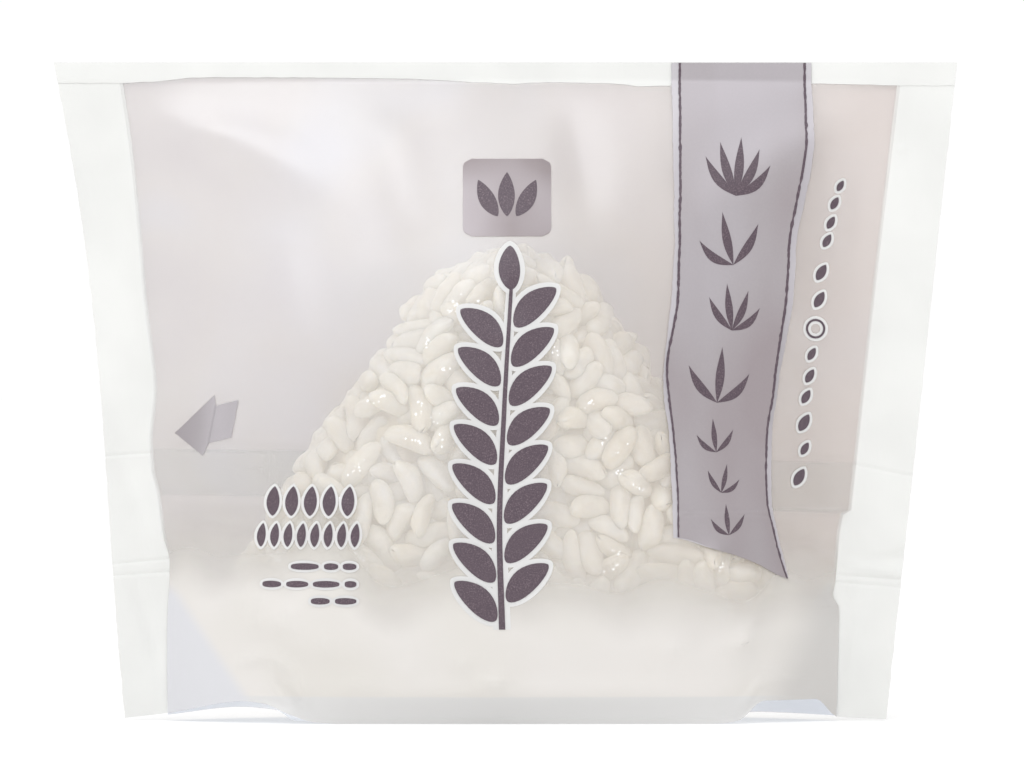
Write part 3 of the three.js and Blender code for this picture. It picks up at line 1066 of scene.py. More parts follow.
def lap_material():
    material, tree, shader = new_material("film_lap", Specular_IOR_Level=0.9)
    relief = use_group(tree, film_relief, Pull=PLAIN_FILM_PULL)
    greys = [(0.35, srgb(236, 241, 235)), (0.65, srgb(240, 244, 239))]
    cloud = use_group(tree, foot_fog)["Cloud"]
    link_to(
        shader,
        Base_Color=colour_ramp(tree, cloud, greys),
        Alpha=maths(tree, "MULTIPLY_ADD", cloud, 0.1, 0.18),
        Roughness=maths(tree, "MULTIPLY_ADD", relief["Grain"], 0.16, 0.26),
        Normal=bump(tree, relief["Height"], 0.3, PLAIN_FILM_BUMP),
    )
    return material


lap = laid_sheet("film_lap", LAP_COLUMNS, LAP_ROWS, lap_place)
show_sheet(lap, lap_material(), LAP_WALL)

# Gusset. The film of the foot runs under the ball and is tucked up inside both ends,
# where its four layers meet in the weld.
GUSSET_COLUMNS = 120
GUSSET_STEPS = 16


def gusset_place(share, up):
    x = inner_edge(-1, 0.0) * (1 - share) + inner_edge(1, 0.0) * share
    across = 1 - 2 * up
    fold = gusset_fold(x)
    lift = foot_lift(FRONT if across < 0 else BACK, x)
    z = lift * across**2 + fold * (1 - abs(across))
    return (x, foot_half_depth(x) * across, z + FILM_WALL * 0.5 * (abs(across) < 1))


def gusset_material():
    """The plain milky film of the foot, cooler than the printed panels, with a painted cool glow that
    stands for light coming through it from behind.
    """
    material, tree, shader = new_material(
        "film_gusset",
        Specular_IOR_Level=0.9,
        # Painted glow: the gusset film emits a little cool light.
        Emission_Color=srgb(221, 228, 236),
        Emission_Strength=0.33,
    )
    relief = use_group(tree, film_relief, Pull=PLAIN_FILM_PULL)
    cloud = use_group(tree, foot_fog)["Cloud"]
    whites = [(0.35, srgb(228, 229, 234)), (0.65, srgb(236, 236, 238))]
    link_to(
        shader,
        Base_Color=colour_ramp(tree, cloud, whites),
        Alpha=maths(tree, "MULTIPLY_ADD", cloud, 0.2, 0.50),
        Roughness=maths(tree, "MULTIPLY_ADD", relief["Grain"], 0.16, 0.26),
        Normal=bump(tree, relief["Height"], 0.3, PLAIN_FILM_BUMP),
    )
    return material


gusset = laid_sheet("film_gusset", GUSSET_COLUMNS, GUSSET_STEPS, gusset_place)
show_sheet(gusset, gusset_material(), FILM_WALL)

# Side strips. White printed film, both panels welded flat together by heated bars, with
# the steps of the lap seam and of the gusset's top pressed through.
STRIP_COLUMNS = 14
STRIP_ROWS = 480
STRIP_TUCK = 0.0005
PRESSED_LINES = {
    -1: [(0.0415, 0.0409), (0.0251, 0.0243), (0.0231, 0.0225)],
    1: [(0.0397, 0.0380), (0.0226, 0.0220), (0.0215, 0.0208)],
}
PRESSED_DEPTH = 0.00018
PRESSED_WIDTH = 0.00028
WAVE_HEIGHT = 0.0006
WAVES_PER_METRE = (60, 45)
EDGE_WANDER = 0.00012
WANDERS_PER_METRE = 420
STRIP_REACH = 0.009
STILL_AT_WELD, STILL_AT_HEAD = (0.0, 0.25), (0.092, 0.098)
STRIP_CREASES = [
    (1, (0.0533, 0.0243), (0.0668, 0.0262), 0.0004, 0.0011),
    (1, (0.0518, 0.0246), (0.0645, 0.0222), -0.0004, 0.0009),
    (1, (0.0522, 0.0180), (0.0545, 0.0240), 0.0004, 0.0008),
    (1, (0.0530, 0.0030), (0.0548, 0.0175), -0.0003, 0.0012),
    (1, (0.0614, 0.0894), (0.0618, 0.0878), -0.0003, 0.0005),
    (-1, (-0.0600, 0.0420), (-0.0560, 0.0300), 0.0003, 0.0014),
    (-1, (-0.0580, 0.0240), (-0.0530, 0.0060), 0.0003, 0.0012),
    (-1, (-0.0690, 0.0980), (-0.0640, 0.0760), 0.0003, 0.0016),
]


def strip_sway(side, x, z, from_weld):
    """How far a strip's middle stands off its plane: slow waves, steps and creases."""
    waves = Vector((x * WAVES_PER_METRE[0], side * 2.0, z * WAVES_PER_METRE[1]))
    slow = noise.noise(waves) * WAVE_HEIGHT * min(from_weld, 1)
    lines = [inner + (outer - inner) * from_weld for inner, outer in PRESSED_LINES[side]]
    pressed = sum(PRESSED_DEPTH * math.exp(-(((z - line) / PRESSED_WIDTH) ** 2)) for line in lines)
    creases = sum(fold_rise(crease[1:], x, z) for crease in STRIP_CREASES if crease[0] == side)
    free = smooth_step(*STILL_AT_WELD, from_weld) * (1 - smooth_step(*STILL_AT_HEAD, z))
    return (slow + creases) * free + pressed


def strip_place(side):
    def place_at(share, up):
        z = up * PACK_HEIGHT
        inner = inner_edge(side, z) - side * STRIP_TUCK
        wander = noise.noise(Vector((side * 3.1, 0, z * WANDERS_PER_METRE)))
        outer = outer_edge(side, z) + EDGE_WANDER * wander
        start, end = (inner, outer) if side > 0 else (outer, inner)
        x = start * (1 - share) + end * share
        sway = strip_sway(side, x, z, abs(x - inner) / STRIP_REACH)
        return (x, sway, z + foot_lift(FRONT, x, z))
    return place_at


def white_weld_material():
    """White ink on welded film: satin, with fine crinkles across the weld."""
    material, tree, shader = new_material("white_weld", Specular_IOR_Level=0.45)
    cloud = noise_of(tree, 70, 2)
    whites = [(0.35, srgb(222, 222, 219)), (0.65, srgb(228, 228, 225))]
    crinkle = noise_of(tree, 300, 3, stretch=(1.0, 1, 0.45))
    link_to(
        shader,
        Base_Color=colour_ramp(tree, cloud, whites),
        Roughness=maths(tree, "MULTIPLY_ADD", cloud, 0.3, 0.3),
        Normal=bump(tree, crinkle, 0.22, 0.0004),
    )
    return material


white_weld = white_weld_material()
for side, name in ((-1, "side_strip_left"), (1, "side_strip_right")):
    strip = laid_sheet(name, STRIP_COLUMNS, STRIP_ROWS, strip_place(side))
    show_sheet(strip, white_weld, 2 * SEAL_HALF_THICKNESS, 0.0)

# Head band. The head of the pouch is folded over and printed white down to a line that
# wavers where the film was cut.
BAND_COLUMNS = 200
BAND_STEPS = 8
BAND_LIFT = 0.00006
BAND_WALL = 0.0002
BAND_WANDER = 0.00012
BAND_DIPS = [(-0.0598, -0.0002), (-0.0538, -0.0005), (-0.0492, -0.0010), (-0.0447, -0.0011),
             (-0.0174, -0.0009), (0.0022, -0.0001), (0.0053, -0.0003), (0.0168, -0.0001),
             (0.0208, 0.0003), (0.0251, 0.0002), (0.0479, -0.0001), (0.0613, 0.0002)]


def band_place(face):
    def place_at(share, up):
        over = share if face == FRONT else 1 - share
        level = outer_edge(-1, PACK_HEIGHT) * (1 - over) + outer_edge(1, PACK_HEIGHT) * over
        wander = noise.noise(Vector((level * 500, 1, 0)))
        dip = float(through(BAND_DIPS, level)) + BAND_WANDER * wander
        low = PACK_HEIGHT - HEAD_BAND - dip
        z = low + (PACK_HEIGHT - low) * up
        x = outer_edge(-1, z) * (1 - over) + outer_edge(1, z) * over
        y = max(film_depth(face, x, z), SEAL_HALF_THICKNESS + BAND_LIFT) + BAND_LIFT
        return (x, face * y, z)
    return place_at


for face, name in ((FRONT, "head_band_front"), (BACK, "head_band_back")):
    band = laid_sheet(name, BAND_COLUMNS, BAND_STEPS, band_place(face))
    show_sheet(band, white_weld, BAND_WALL)

# Moisture. Where the film lies on the rice, tiny flat beads of water and steam sit along the crests of
# the grains. They are white and glow faintly: painted highlights that show as white specks.
BEAD_RADII = (0.00007, 0.00018)
BEAD_FLATNESS = 0.45
BEADED_SHARE = 0.55
BEADS_ON_GRAIN = (3, 10)
CREST_REACH = 0.34
CREST_SPREAD = 0.00028
BEAD_CLEARANCE = 0.00018
BEAD_ROOM = 0.00040
BEADS_ABOVE = 0.024
TOUCHED_ENOUGH = 0.6


def bead_places():
    """Places and radii of the beads, in short uneven rows on grains that touch the film."""
    places = []
    for g in front_grains:
        if rng.uniform() > BEADED_SHARE:
            continue
        x, _, z = grain_centre[g]
        row = int(np.clip(z / PACK_HEIGHT * PANEL_ROWS, 0, PANEL_ROWS))
        share = (x - row_left[row]) / (row_right[row] - row_left[row])
        column = int(np.clip(share * PANEL_COLUMNS, 0, PANEL_COLUMNS))
        if z < BEADS_ABOVE or film_touches[FRONT][row, column] < TOUCHED_ENOUGH:
            continue
        middle = rng.uniform(-0.6, 0.6)
        for _ in range(rng.integers(*BEADS_ON_GRAIN)):
            along = np.clip(middle + rng.normal(0, 0.28), -1, 1) * CREST_REACH * grain_length[g]
            x, _, z = grain_centre[g] + along * grain_axis[g] + rng.normal(0, CREST_SPREAD, 3)
            places.append((x, z, rng.uniform(*BEAD_RADII)))
    return places


def bead_middle(x, z):
    """The middle of a bead, under the lowest film around it, so that it stays inside."""
    steps = [(0, 0), (-BEAD_ROOM, 0), (BEAD_ROOM, 0), (0, -BEAD_ROOM), (0, BEAD_ROOM)]
    depth = min(film_depth(FRONT, x + across, z + up) for across, up in steps)
    return np.array([x, BEAD_CLEARANCE - depth, z])


def beads_mesh():
    bm = bmesh.new()
    bmesh.ops.create_icosphere(bm, subdivisions=1, radius=1)
    corners = np.array([v.co for v in bm.verts])
    faces = np.array([[v.index for v in face.verts] for face in bm.faces])
    bm.free()
    co, joined = [], []
    for x, z, radius in bead_places():
        stretch = np.array([rng.uniform(0.8, 1.6), BEAD_FLATNESS, rng.uniform(0.8, 1.6)]) * radius
        joined.append(faces + len(co) * len(corners))
        co.append(corners * stretch + bead_middle(x, z))
    mesh = bpy.data.meshes.new("moisture_glint_beads")
    mesh.from_pydata(np.concatenate(co).tolist(), [], np.concatenate(joined).tolist())
    return smooth(mesh)


def moisture_glint_material():
    """Fine mist drops painted as highlights: white and faintly glowing, glossy outside."""
    material, tree, shader = new_material(
        "moisture_and_glints",
        Coat_Weight=0.6,
        Coat_Roughness=0.05,
        # Painted highlight: the beads glow white.
        Emission_Color=(1, 1, 1, 1),
        Emission_Strength=0.45,
    )
    cloud = noise_of(tree, 900, 2)
    whites = [(0.3, srgb(246, 247, 246)), (0.7, srgb(253, 253, 252))]
    link_to(
        shader,
        Base_Color=colour_ramp(tree, cloud, whites),
        Roughness=maths(tree, "MULTIPLY_ADD", cloud, 0.2, 0.05),
        Alpha=maths(tree, "MULTIPLY_ADD", cloud, 0.5, 0.55),
    )
    return material


show(beads_mesh(), moisture_glint_material())

# Silver ribbon. A torn strip of paper printed on the front in satin silver ink: pale at
# its torn edges, with a ragged dark line just inside each of them.
MM = 0.001
RIBBON_LEFT = [
    (22, 26.0), (28.6, 25.7), (35.7, 25.5), (45.2, 25.0), (50.9, 24.2), (54.3, 24.3),
    (65.2, 25.5), (74.5, 26.0), (88.4, 25.9), (102, 25.7),
]
LINE_LEFT = [
    (22, 26.7), (28.6, 26.5), (35.7, 26.4), (45.2, 25.7), (50.9, 25.0), (54.3, 24.8),
    (65.2, 26.5), (74.5, 26.8), (88.4, 27.0), (102, 27.0),
]
RIBBON_RIGHT = [
    (22.1, 43.7), (24.9, 43.0), (29.5, 41.8), (34.2, 41.0), (38.8, 40.9), (43.5, 41.0),
    (51.2, 41.9), (57.4, 43.0), (65.2, 44.4), (74.5, 45.0), (83.8, 47.0), (90, 47.7),
    (102, 47.3),
]
LINE_RIGHT = [
    (22.1, 43.5), (24.9, 42.5), (29.5, 41.3), (34.2, 40.3), (38.8, 40.1), (43.5, 40.2),
    (51.2, 41.3), (57.4, 42.1), (65.2, 43.3), (74.5, 43.9), (83.8, 45.7), (90, 46.5),
    (102, 46.3),
]
RIBBON_FOOT = [
    (0, 28.6), (0.06, 28.5), (0.31, 27.2), (0.54, 26.0), (0.76, 24.5), (0.93, 22.7), (1, 22.2)
]
RIBBON_TOP_Z = 101.9
LINE_LEFT_FOOT = 28.7
LINE_RIGHT_FOOT = 22.2
RIBBON_COLUMNS = 46
RIBBON_ROWS = 200
LINE_ROWS = 260
TORN_SWING = 0.16
LINE_HALF_WIDTH = 0.19
RIBBON_LIFT = 0.00026
RIBBON_FACE_LIFT = 0.00032
RIBBON_LINE_LIFT = 0.00036
LINE_FULL_FROM = 66
LINE_THINNEST = 0.65
LINE_UNEVEN = 0.7
INK_WALL = 0.00003


def on_front(x, z, lift):
    """A place on the front panel, a little clear of the film and of the head band."""
    return (x, -(film_depth(FRONT, x, z) + lift), z + foot_lift(FRONT, x, z))


def torn(z, seed):
    """How far a torn edge wanders at a height, in millimetres."""
    slow = noise.noise(Vector((z * 0.25, seed, 0)))
    fine = noise.noise(Vector((z * 1.6, seed, 5)))
    return TORN_SWING * (slow + 0.8 * fine)


def ribbon_place(left_line, right_line, lift, ragged):
    def place_at(share, up):
        low = float(through(RIBBON_FOOT, share))
        z = low + (RIBBON_TOP_Z - low) * up
        left = float(through(left_line, z)) + ragged * torn(z, 1)
        right = float(through(right_line, z)) + ragged * torn(z, 2)
        x = left * (1 - share) + right * share
        return on_front(x * MM, z * MM, lift)
    return place_at


def line_place(line, seed, low):
    def place_at(share, up):
        z = low + (RIBBON_TOP_Z - low) * up
        middle = float(through(line, z)) + 0.6 * torn(z, seed)
        thin = LINE_THINNEST + (1 - LINE_THINNEST) * smooth_step(low, LINE_FULL_FROM, z)
        uneven = 1 + LINE_UNEVEN * noise.noise(Vector((z * 1.1, seed, 9)))
        half = LINE_HALF_WIDTH * thin * uneven
        x = middle + half * (2 * share - 1)
        return on_front(x * MM, z * MM, RIBBON_LINE_LIFT)
    return place_at


def ink_grain_group():
    """Fine uneven cover of printed ink: a speckle and a slow drift of tone."""
    group, given, made = new_group("ink_grain", {"Size": 3200.0}, ["Speckle", "Drift"])
    place = add_node(group, "TexCoord").outputs["Object"]
    fine = add_node(group, "TexNoise", {"Vector": place, "Scale": given["Size"], "Detail": 2.0})
    group.links.new(fine.outputs["Fac"], made["Speckle"])
    group.links.new(noise_of(group, 38, 2, stretch=(1.6, 1, 0.7)), made["Drift"])
    return group


ink_grain = ink_grain_group()


SPECKLE_PALE = [(0.3, srgb(246, 246, 247)), (0.7, srgb(255, 255, 255))]
# Painted reflection: silver tone shift from the lower to the upper level.
REFLECTION_TONE_SHIFT = (-0.12, 0.03)
INK_BUMP = 0.00004


def silver_ink(name, dark, middle, light, shine, reflection_heights=(0.0, 0.0001)):
    """Satin silver ink whose tone drifts, and whose painted reflection turns it from dark to light
    between two given levels.
    """
    material, tree, shader = new_material(name, Metallic=shine, Specular_IOR_Level=0.6)
    grain = use_group(tree, ink_grain)
    # Painted reflection that darkens or lightens the silver along the height.
    rise = soft_range(tree, place_of(tree)["Z"], *reflection_heights, *REFLECTION_TONE_SHIFT)
    turned = maths(tree, "ADD", grain["Drift"], rise)
    tones = colour_ramp(tree, turned, [(0.32, dark), (0.5, middle), (0.66, light)])
    fine = colour_ramp(tree, grain["Speckle"], SPECKLE_PALE)
    sparkle = maths(tree, "MULTIPLY_ADD", grain["Speckle"], 0.4, 0.3)
    link_to(
        shader,
        Base_Color=blend_colours(tree, sparkle, tones, fine, "MULTIPLY"),
        Roughness=maths(tree, "MULTIPLY_ADD", grain["Speckle"], 0.2, 0.28),
        Normal=bump(tree, grain["Speckle"], 0.15, INK_BUMP),
    )
    return material


def dark_ink(name):
    """Dense plum-grey ink with a fine pale grain."""
    material, tree, shader = new_material(name, Specular_IOR_Level=0.5)
    grain = use_group(tree, ink_grain, Size=5200.0)
    plums = [(0.34, srgb(76, 62, 72)), (0.56, srgb(88, 73, 82)), (0.74, srgb(116, 101, 108))]
    link_to(
        shader,
        Base_Color=colour_ramp(tree, grain["Speckle"], plums),
        Roughness=maths(tree, "MULTIPLY_ADD", grain["Drift"], 0.2, 0.30),
        Normal=bump(tree, grain["Speckle"], 0.15, INK_BUMP),
    )
    return material


edge_tones = (srgb(168, 163, 167), srgb(183, 178, 183), srgb(194, 190, 194))
ribbon_tones = (srgb(155, 145, 148), srgb(166, 159, 162), srgb(173, 167, 171))
torn_silver = silver_ink("silver_edge", *edge_tones, 0.15)
# Painted reflection: the ribbon turns darker towards its foot.
ribbon_silver = silver_ink("silver_ribbon", *ribbon_tones, 0.2, (0.030, 0.070))
plum = dark_ink("plum_ink")


def lay_print(name, columns, rows, place_at, material, slot):
    """Prints one field of ink on the film."""
    show_sheet(laid_sheet(name, columns, rows, place_at), material, INK_WALL)


ribbon_grid = (RIBBON_COLUMNS, RIBBON_ROWS)
ribbon_edge = ribbon_place(RIBBON_LEFT, RIBBON_RIGHT, RIBBON_LIFT, 1.0)
ribbon_face = ribbon_place(LINE_LEFT, LINE_RIGHT, RIBBON_FACE_LIFT, 0.0)
lay_print("ribbon_edge", *ribbon_grid, ribbon_edge, torn_silver, "silver_print")
lay_print("ribbon_face", *ribbon_grid, ribbon_face, ribbon_silver, "silver_print")
for name, line, seed, low in (
    ("ribbon_line_left", LINE_LEFT, 1, LINE_LEFT_FOOT),
    ("ribbon_line_right", LINE_RIGHT, 2, LINE_RIGHT_FOOT),
):
    lay_print(name, 2, LINE_ROWS, line_place(line, seed, low), plum, "dark_print")

# Silver square and cut arrow. Two plain fields of the same silver ink: a square with
# round corners near the head, and an arrow that points to the edge where the film tears.
SQUARE_MIDDLE = (0.25, 80.9)
SQUARE_HALF = (6.8, 6.0)
SQUARE_CORNER = 1.3
SQUARE_CELLS = 20
ARROW_TIP = (-51.1, 44.6)
ARROW_NECK = (-45.3, 45.9)
ARROW_TAIL = (-41.7, 46.8)
ARROW_ACROSS = (0.19, 0.98)
ARROW_HEAD_HALF = 5.3
ARROW_BODY_HALF = 2.95
ARROW_SPLIT = 0.55
ARROW_COLUMNS = 20
ARROW_ROWS = 12
ARROW_POINT_SHARE = 0.02
ARROW_NECK_SHARE = 0.01
SILVER_LIFT = 0.00012


def square_place(share, up):
    across, high = 2 * share - 1, 2 * up - 1
    from_end = max(abs(high) * SQUARE_HALF[1] - (SQUARE_HALF[1] - SQUARE_CORNER), 0)
    cut = SQUARE_CORNER - math.sqrt(max(SQUARE_CORNER**2 - from_end**2, 0))
    x = SQUARE_MIDDLE[0] + across * (SQUARE_HALF[0] - cut)
    z = SQUARE_MIDDLE[1] + high * SQUARE_HALF[1]
    return on_front(x * MM, z * MM, SILVER_LIFT)


def arrow_place(share, up):
    """Head, then body, with one column between them where the outline steps in."""
    body_start = ARROW_SPLIT + 1 / ARROW_COLUMNS
    if share <= ARROW_SPLIT:
        along = share / ARROW_SPLIT
        (ax, az), (bx, bz) = ARROW_TIP, ARROW_NECK
        half = ARROW_HEAD_HALF * max(along, ARROW_POINT_SHARE)
    else:
        along = max((share - body_start) / (1 - body_start), ARROW_NECK_SHARE)
        (ax, az), (bx, bz) = ARROW_NECK, ARROW_TAIL
        half = ARROW_BODY_HALF
    across = half * (2 * up - 1)
    x = ax + (bx - ax) * along + across * ARROW_ACROSS[0]
    z = az + (bz - az) * along + across * ARROW_ACROSS[1]
    return on_front(x * MM, z * MM, SILVER_LIFT)


square_tones = (srgb(118, 107, 109), srgb(140, 130, 131), srgb(170, 162, 165))
arrow_tones = (srgb(140, 132, 136), srgb(166, 160, 163), srgb(190, 185, 189))
# Painted reflection: the square turns darker towards its top.
square_silver = silver_ink("silver_square", *square_tones, 0.25, (0.0885, 0.0810))
arrow_silver = silver_ink("silver_arrow", *arrow_tones, 0.4)
square_grid = (SQUARE_CELLS, SQUARE_CELLS)
arrow_grid = (ARROW_COLUMNS, ARROW_ROWS)
lay_print("silver_square", *square_grid, square_place, square_silver, "silver_print")
lay_print("cut_arrow", *arrow_grid, arrow_place, arrow_silver, "silver_print")

# Ear of rice. The middle of the front carries one tall ear, drawn in drop-shaped grains
# on both sides of a stalk, in plum ink on a pale field that keeps it clear of the rice.
STALK = [(14.6, -0.5), (30.0, -0.9), (48.0, -0.2), (67.0, 0.9)]
STALK_HALF_WIDTH = 0.42
EAR_FIRST_Z = 16.0
EAR_STEP_Z = 6.0
EAR_PAIRS = 8
EAR_GRAIN_RISE = 5.6
EAR_GRAIN_REACH = 6.3
EAR_GRAIN_WIDTH = 3.9
HALO_WIDTH = 0.75
HALO_LIFT = 0.00010
HALO_STEP = 0.000003
HALO_LEVELS = 20
UNDER_GRAINS = 0.00001
PLUM_LIFT = 0.00019
STALK_CUT = (1.15, 0.65)
STALK_ROWS = 60
GRAIN_ROOT_REACH = 0.9
GRAIN_BOW = 0.5
GRAIN_BLUNT = 0.6
GRAIN_SWING = 0.3
TOP_GRAIN = {"start": (0.9, 66.6), "end": (0.7, 73.4), "bow": 0.2, "width_share": 0.85}
SHARPEST = 0.02
DROP_ROWS = 16
DROP_COLUMNS = 6


def drop(start, end, width, bow=0.0, blunt=1.0):
    """A drop-shaped stroke from its pointed start to its rounder end, in millimetres."""
    return {"start": start, "end": end, "width": width, "bow": bow, "blunt": blunt}


def stroke_corners(stroke, lift, grow):
    """The grid of one stroke on the film, widened all round by grow."""
    start, end = np.array(stroke["start"], float), np.array(stroke["end"], float)
    along = end - start
    length = np.linalg.norm(along)
    along = along / length
    beside = np.array([-along[1], along[0]])
    corners = []
    for i in range(DROP_ROWS + 1):
        t = 0.5 - 0.5 * math.cos(math.pi * i / DROP_ROWS)
        swell = math.sin(math.pi * t**0.9) ** stroke["blunt"] if 0 < t < 1 else 0
        swell = max(swell, SHARPEST)
        round_end = max(math.sin(math.pi * t), SHARPEST) ** 0.5
        half = stroke["width"] / 2 * swell + grow * round_end
        place = start + along * (t * length + grow * (2 * t - 1))
        place = place + beside * stroke["bow"] * math.sin(math.pi * t)
        for j in range(DROP_COLUMNS + 1):
            spot = place + beside * half * (2 * j / DROP_COLUMNS - 1)
            corners.append(on_front(spot[0] * MM, spot[1] * MM, lift))
    return corners


def face_front(bm):
    """Turns all faces of a flat print to the front."""
    bmesh.ops.recalc_face_normals(bm, faces=bm.faces)
    if bm.faces[0].normal.y > 0:
        bmesh.ops.reverse_faces(bm, faces=bm.faces)


def strokes_mesh(name, strokes, lift, grow=0.0, step=0.0):
    """Many strokes as one joined mesh, each on its own thin level of ink."""
    corners, faces = [], []
    wide = DROP_COLUMNS + 1
    for index, stroke in enumerate(strokes):
        first = len(corners)
        corners += stroke_corners(stroke, lift + step * (index % HALO_LEVELS), grow)
        for i in range(DROP_ROWS):
            for j in range(DROP_COLUMNS):
                a = first + i * wide + j
                faces.append((a, a + 1, a + wide + 1, a + wide))
    mesh = bpy.data.meshes.new(name)
    mesh.from_pydata(corners, [], faces)
    bm = bmesh.new()
    bm.from_mesh(mesh)
    face_front(bm)
    for edge in bm.edges:
        edge.smooth = not edge.is_boundary
    bm.to_mesh(mesh)
    bm.free()
    return smooth(mesh)


def lay_strokes(name, strokes, lift, material, grow=0.0, step=0.0):
    """Prints many strokes of one ink."""
    mesh = strokes_mesh(name, strokes, lift, grow, step)
    show_sheet(mesh, material, INK_WALL)


def stalk_x(z):
    return float(through(STALK, z))


def stalk_place(half, lift):
    low, high = STALK[0][0], STALK[-1][0]
    wide, narrow = STALK_CUT

    def place_at(share, up):
        z = low + (high - low) * up
        thin = wide - (wide - narrow) * up
        x = stalk_x(z) + half * thin * (2 * share - 1)
        return on_front(x * MM, z * MM, lift)
    return place_at


ear_grains = []
for pair in range(EAR_PAIRS):
    for side in (-1, 1):
        root_z = EAR_FIRST_Z + EAR_STEP_Z * pair + (EAR_STEP_Z / 2 if side > 0 else 0)
        root = (stalk_x(root_z) + side * GRAIN_ROOT_REACH, root_z)
        tip_z = root_z + EAR_GRAIN_RISE + rng.uniform(-GRAIN_SWING, GRAIN_SWING)
        tip = (root[0] + side * EAR_GRAIN_REACH, tip_z)
        ear_grains.append(drop(root, tip, EAR_GRAIN_WIDTH, side * GRAIN_BOW, GRAIN_BLUNT))
top_width = EAR_GRAIN_WIDTH * TOP_GRAIN["width_share"]
ear_grains.append(
    drop(TOP_GRAIN["start"], TOP_GRAIN["end"], top_width, TOP_GRAIN["bow"], GRAIN_BLUNT)
)


def halo_ink():
    """Milky white ink under the dark print, a little cooler than the rice."""
    material, tree, shader = new_material("halo_ink", Specular_IOR_Level=0.5)
    grain = use_group(tree, ink_grain)
    whites = [(0.35, srgb(222, 221, 220)), (0.65, srgb(230, 229, 228))]
    link_to(
        shader,
        Base_Color=colour_ramp(tree, grain["Drift"], whites),
        Roughness=maths(tree, "MULTIPLY_ADD", grain["Speckle"], 0.2, 0.30),
        Alpha=maths(tree, "MULTIPLY_ADD", grain["Drift"], 0.1, 0.80),
    )
    return material


halo = halo_ink()
stalk_halo = stalk_place(STALK_HALF_WIDTH + HALO_WIDTH, HALO_LIFT - UNDER_GRAINS)
stalk_ink = stalk_place(STALK_HALF_WIDTH, PLUM_LIFT - UNDER_GRAINS)
lay_strokes("ear_halo", ear_grains, HALO_LIFT, halo, HALO_WIDTH, HALO_STEP)
lay_print("stalk_halo", 4, STALK_ROWS, stalk_halo, halo, "dark_print")
lay_strokes("ear_grains", ear_grains, PLUM_LIFT, plum)
lay_print("ear_stalk", 2, STALK_ROWS, stalk_ink, plum, "dark_print")

# Small marks. Three loose grains in the square, sprigs of slender leaves down the
# ribbon, a slanting row of dabs with a ring beside it, and rows of grains and dashes at
# the lower left. They are plain shapes in the same plum ink.
SPRIG_LIFT = RIBBON_LINE_LIFT
SPRIGS = [
    {"at": (36.5, 86.0), "size": 9.6, "leaves": 5, "lean": 0.1},
    {"at": (36.0, 75.0), "size": 9.0, "leaves": 3, "lean": -0.2},
    {"at": (35.6, 64.2), "size": 7.6, "leaves": 4, "lean": 0.15},
    {"at": (33.4, 53.8), "size": 9.0, "leaves": 3, "lean": 0.1},
    {"at": (32.9, 44.4), "size": 5.4, "leaves": 3, "lean": -0.1},
    {"at": (33.6, 37.9), "size": 4.8, "leaves": 3, "lean": 0.2},
    {"at": (34.8, 31.5), "size": 5.0, "leaves": 3, "lean": -0.1},
]
SQUARE_GRAINS = [
    drop((-1.2, 78.0), (-4.2, 83.6), 2.5, 0.2, 0.8),
    drop((0.25, 78.0), (0.25, 84.8), 2.6, 0.1, 0.8),
    drop((1.7, 78.0), (4.7, 83.6), 2.5, -0.2, 0.8),
]
SIDE_DABS = [
    (51.8, 82.8, 1.9), (50.9, 80.1, 2.2), (50.3, 77.1, 2.2), (49.7, 74.3, 2.3),
    (48.8, 69.4, 2.8), (48.5, 65.2, 2.8), (47.3, 56.8, 2.2), (47.0, 53.4, 2.4),
    (46.4, 50.2, 2.4), (46.1, 46.2, 3.0), (46.2, 42.2, 2.2), (45.3, 37.8, 3.0),
]
DAB_LEAN = (0.25, 0.42)
DAB_WIDTH_SHARE = 0.5
RING = {"at": (47.9, 60.7), "radius": 1.35, "half_width": 0.17}
RING_SIDES = 28
GRAIN_ROWS = [
    {"x": (-35.6, -24.0), "z": 34.2, "count": 5, "size": (2.0, 4.5)},
    {"x": (-37.4, -22.9), "z": 29.0, "count": 8, "size": (1.35, 3.6)},
]
DASH_HEIGHT = 1.0
DASH_ROWS = {
    24.2: [(-32.9, -28.6), (-27.8, -25.6), (-24.9, -22.8)],
    21.5: [(-37.3, -34.4), (-33.6, -30.2), (-29.5, -25.4), (-24.6, -22.8)],
    18.9: [(-29.8, -26.9), (-26.1, -22.8)],
}
SMALL_HALO = 0.42
LEAF_FAN = 1.5
LEAF_WIDTH_SHARE = 0.15
OVER_SQUARE = 0.00005

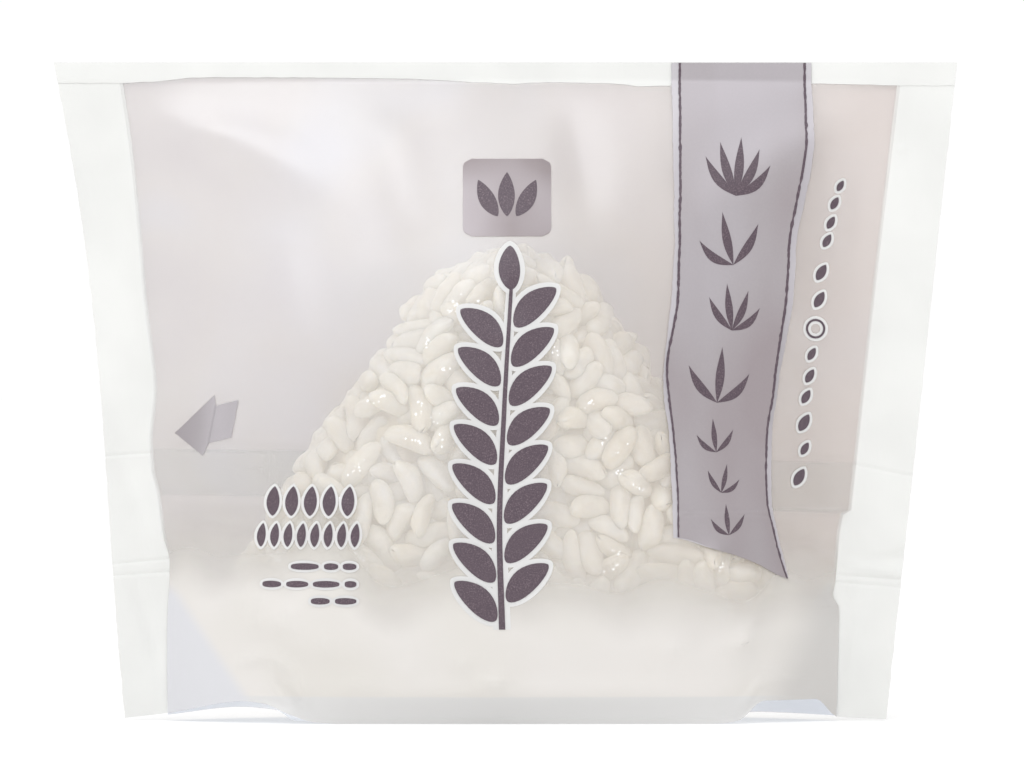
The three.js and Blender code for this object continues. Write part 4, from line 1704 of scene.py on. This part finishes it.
sprig_leaves = []
for sprig in SPRIGS:
    (x, z), size = sprig["at"], sprig["size"]
    root = (x - size * 0.1, z - size / 2)
    for k in range(sprig["leaves"]):
        spread = (k / (sprig["leaves"] - 1) - 0.5) * LEAF_FAN + sprig["lean"]
        long = size * (0.98 - 0.28 * abs(spread))
        tip = (root[0] + long * math.sin(spread), root[1] + long * math.cos(spread))
        bow = -0.1 * size * spread
        sprig_leaves.append(drop(root, tip, size * LEAF_WIDTH_SHARE, bow, 1.1))

small_marks = []
for x, z, size in SIDE_DABS:
    reach, rise = DAB_LEAN[0] * size, DAB_LEAN[1] * size
    start, end = (x - reach, z - rise), (x + reach, z + rise)
    small_marks.append(drop(start, end, DAB_WIDTH_SHARE * size, 0, 0.7))
for row in GRAIN_ROWS:
    wide, tall = row["size"]
    for x in np.linspace(*row["x"], row["count"]):
        start, end = (x - 0.2, row["z"] - tall / 2), (x + 0.2, row["z"] + tall / 2)
        small_marks.append(drop(start, end, wide, 0.1, 0.7))
for z, dashes in DASH_ROWS.items():
    for start, end in dashes:
        small_marks.append(drop((start, z), (end, z), DASH_HEIGHT, 0, 0.3))


def lay_ring(name, half_width, lift, material):
    """A plain ring on the film, bridged between two circles."""
    bm = bmesh.new()
    for radius in (RING["radius"] - half_width, RING["radius"] + half_width):
        bmesh.ops.create_circle(bm, segments=RING_SIDES, radius=radius)
    bmesh.ops.bridge_loops(bm, edges=bm.edges[:])
    for v in bm.verts:
        v.co = on_front((RING["at"][0] + v.co.x) * MM, (RING["at"][1] + v.co.y) * MM, lift)
    face_front(bm)
    mesh = bpy.data.meshes.new(name)
    bm.to_mesh(mesh)
    bm.free()
    show_sheet(mesh, material, INK_WALL)


lay_strokes("ribbon_sprigs", sprig_leaves, SPRIG_LIFT, plum)
lay_strokes("square_grains", SQUARE_GRAINS, SILVER_LIFT + OVER_SQUARE, plum)
lay_strokes("marks_halo", small_marks, HALO_LIFT, halo, SMALL_HALO, HALO_STEP)
lay_strokes("small_marks", small_marks, PLUM_LIFT, plum)
lay_ring("ring_halo", RING["half_width"] + SMALL_HALO, HALO_LIFT, halo)
lay_ring("side_ring", RING["half_width"], PLUM_LIFT, plum)
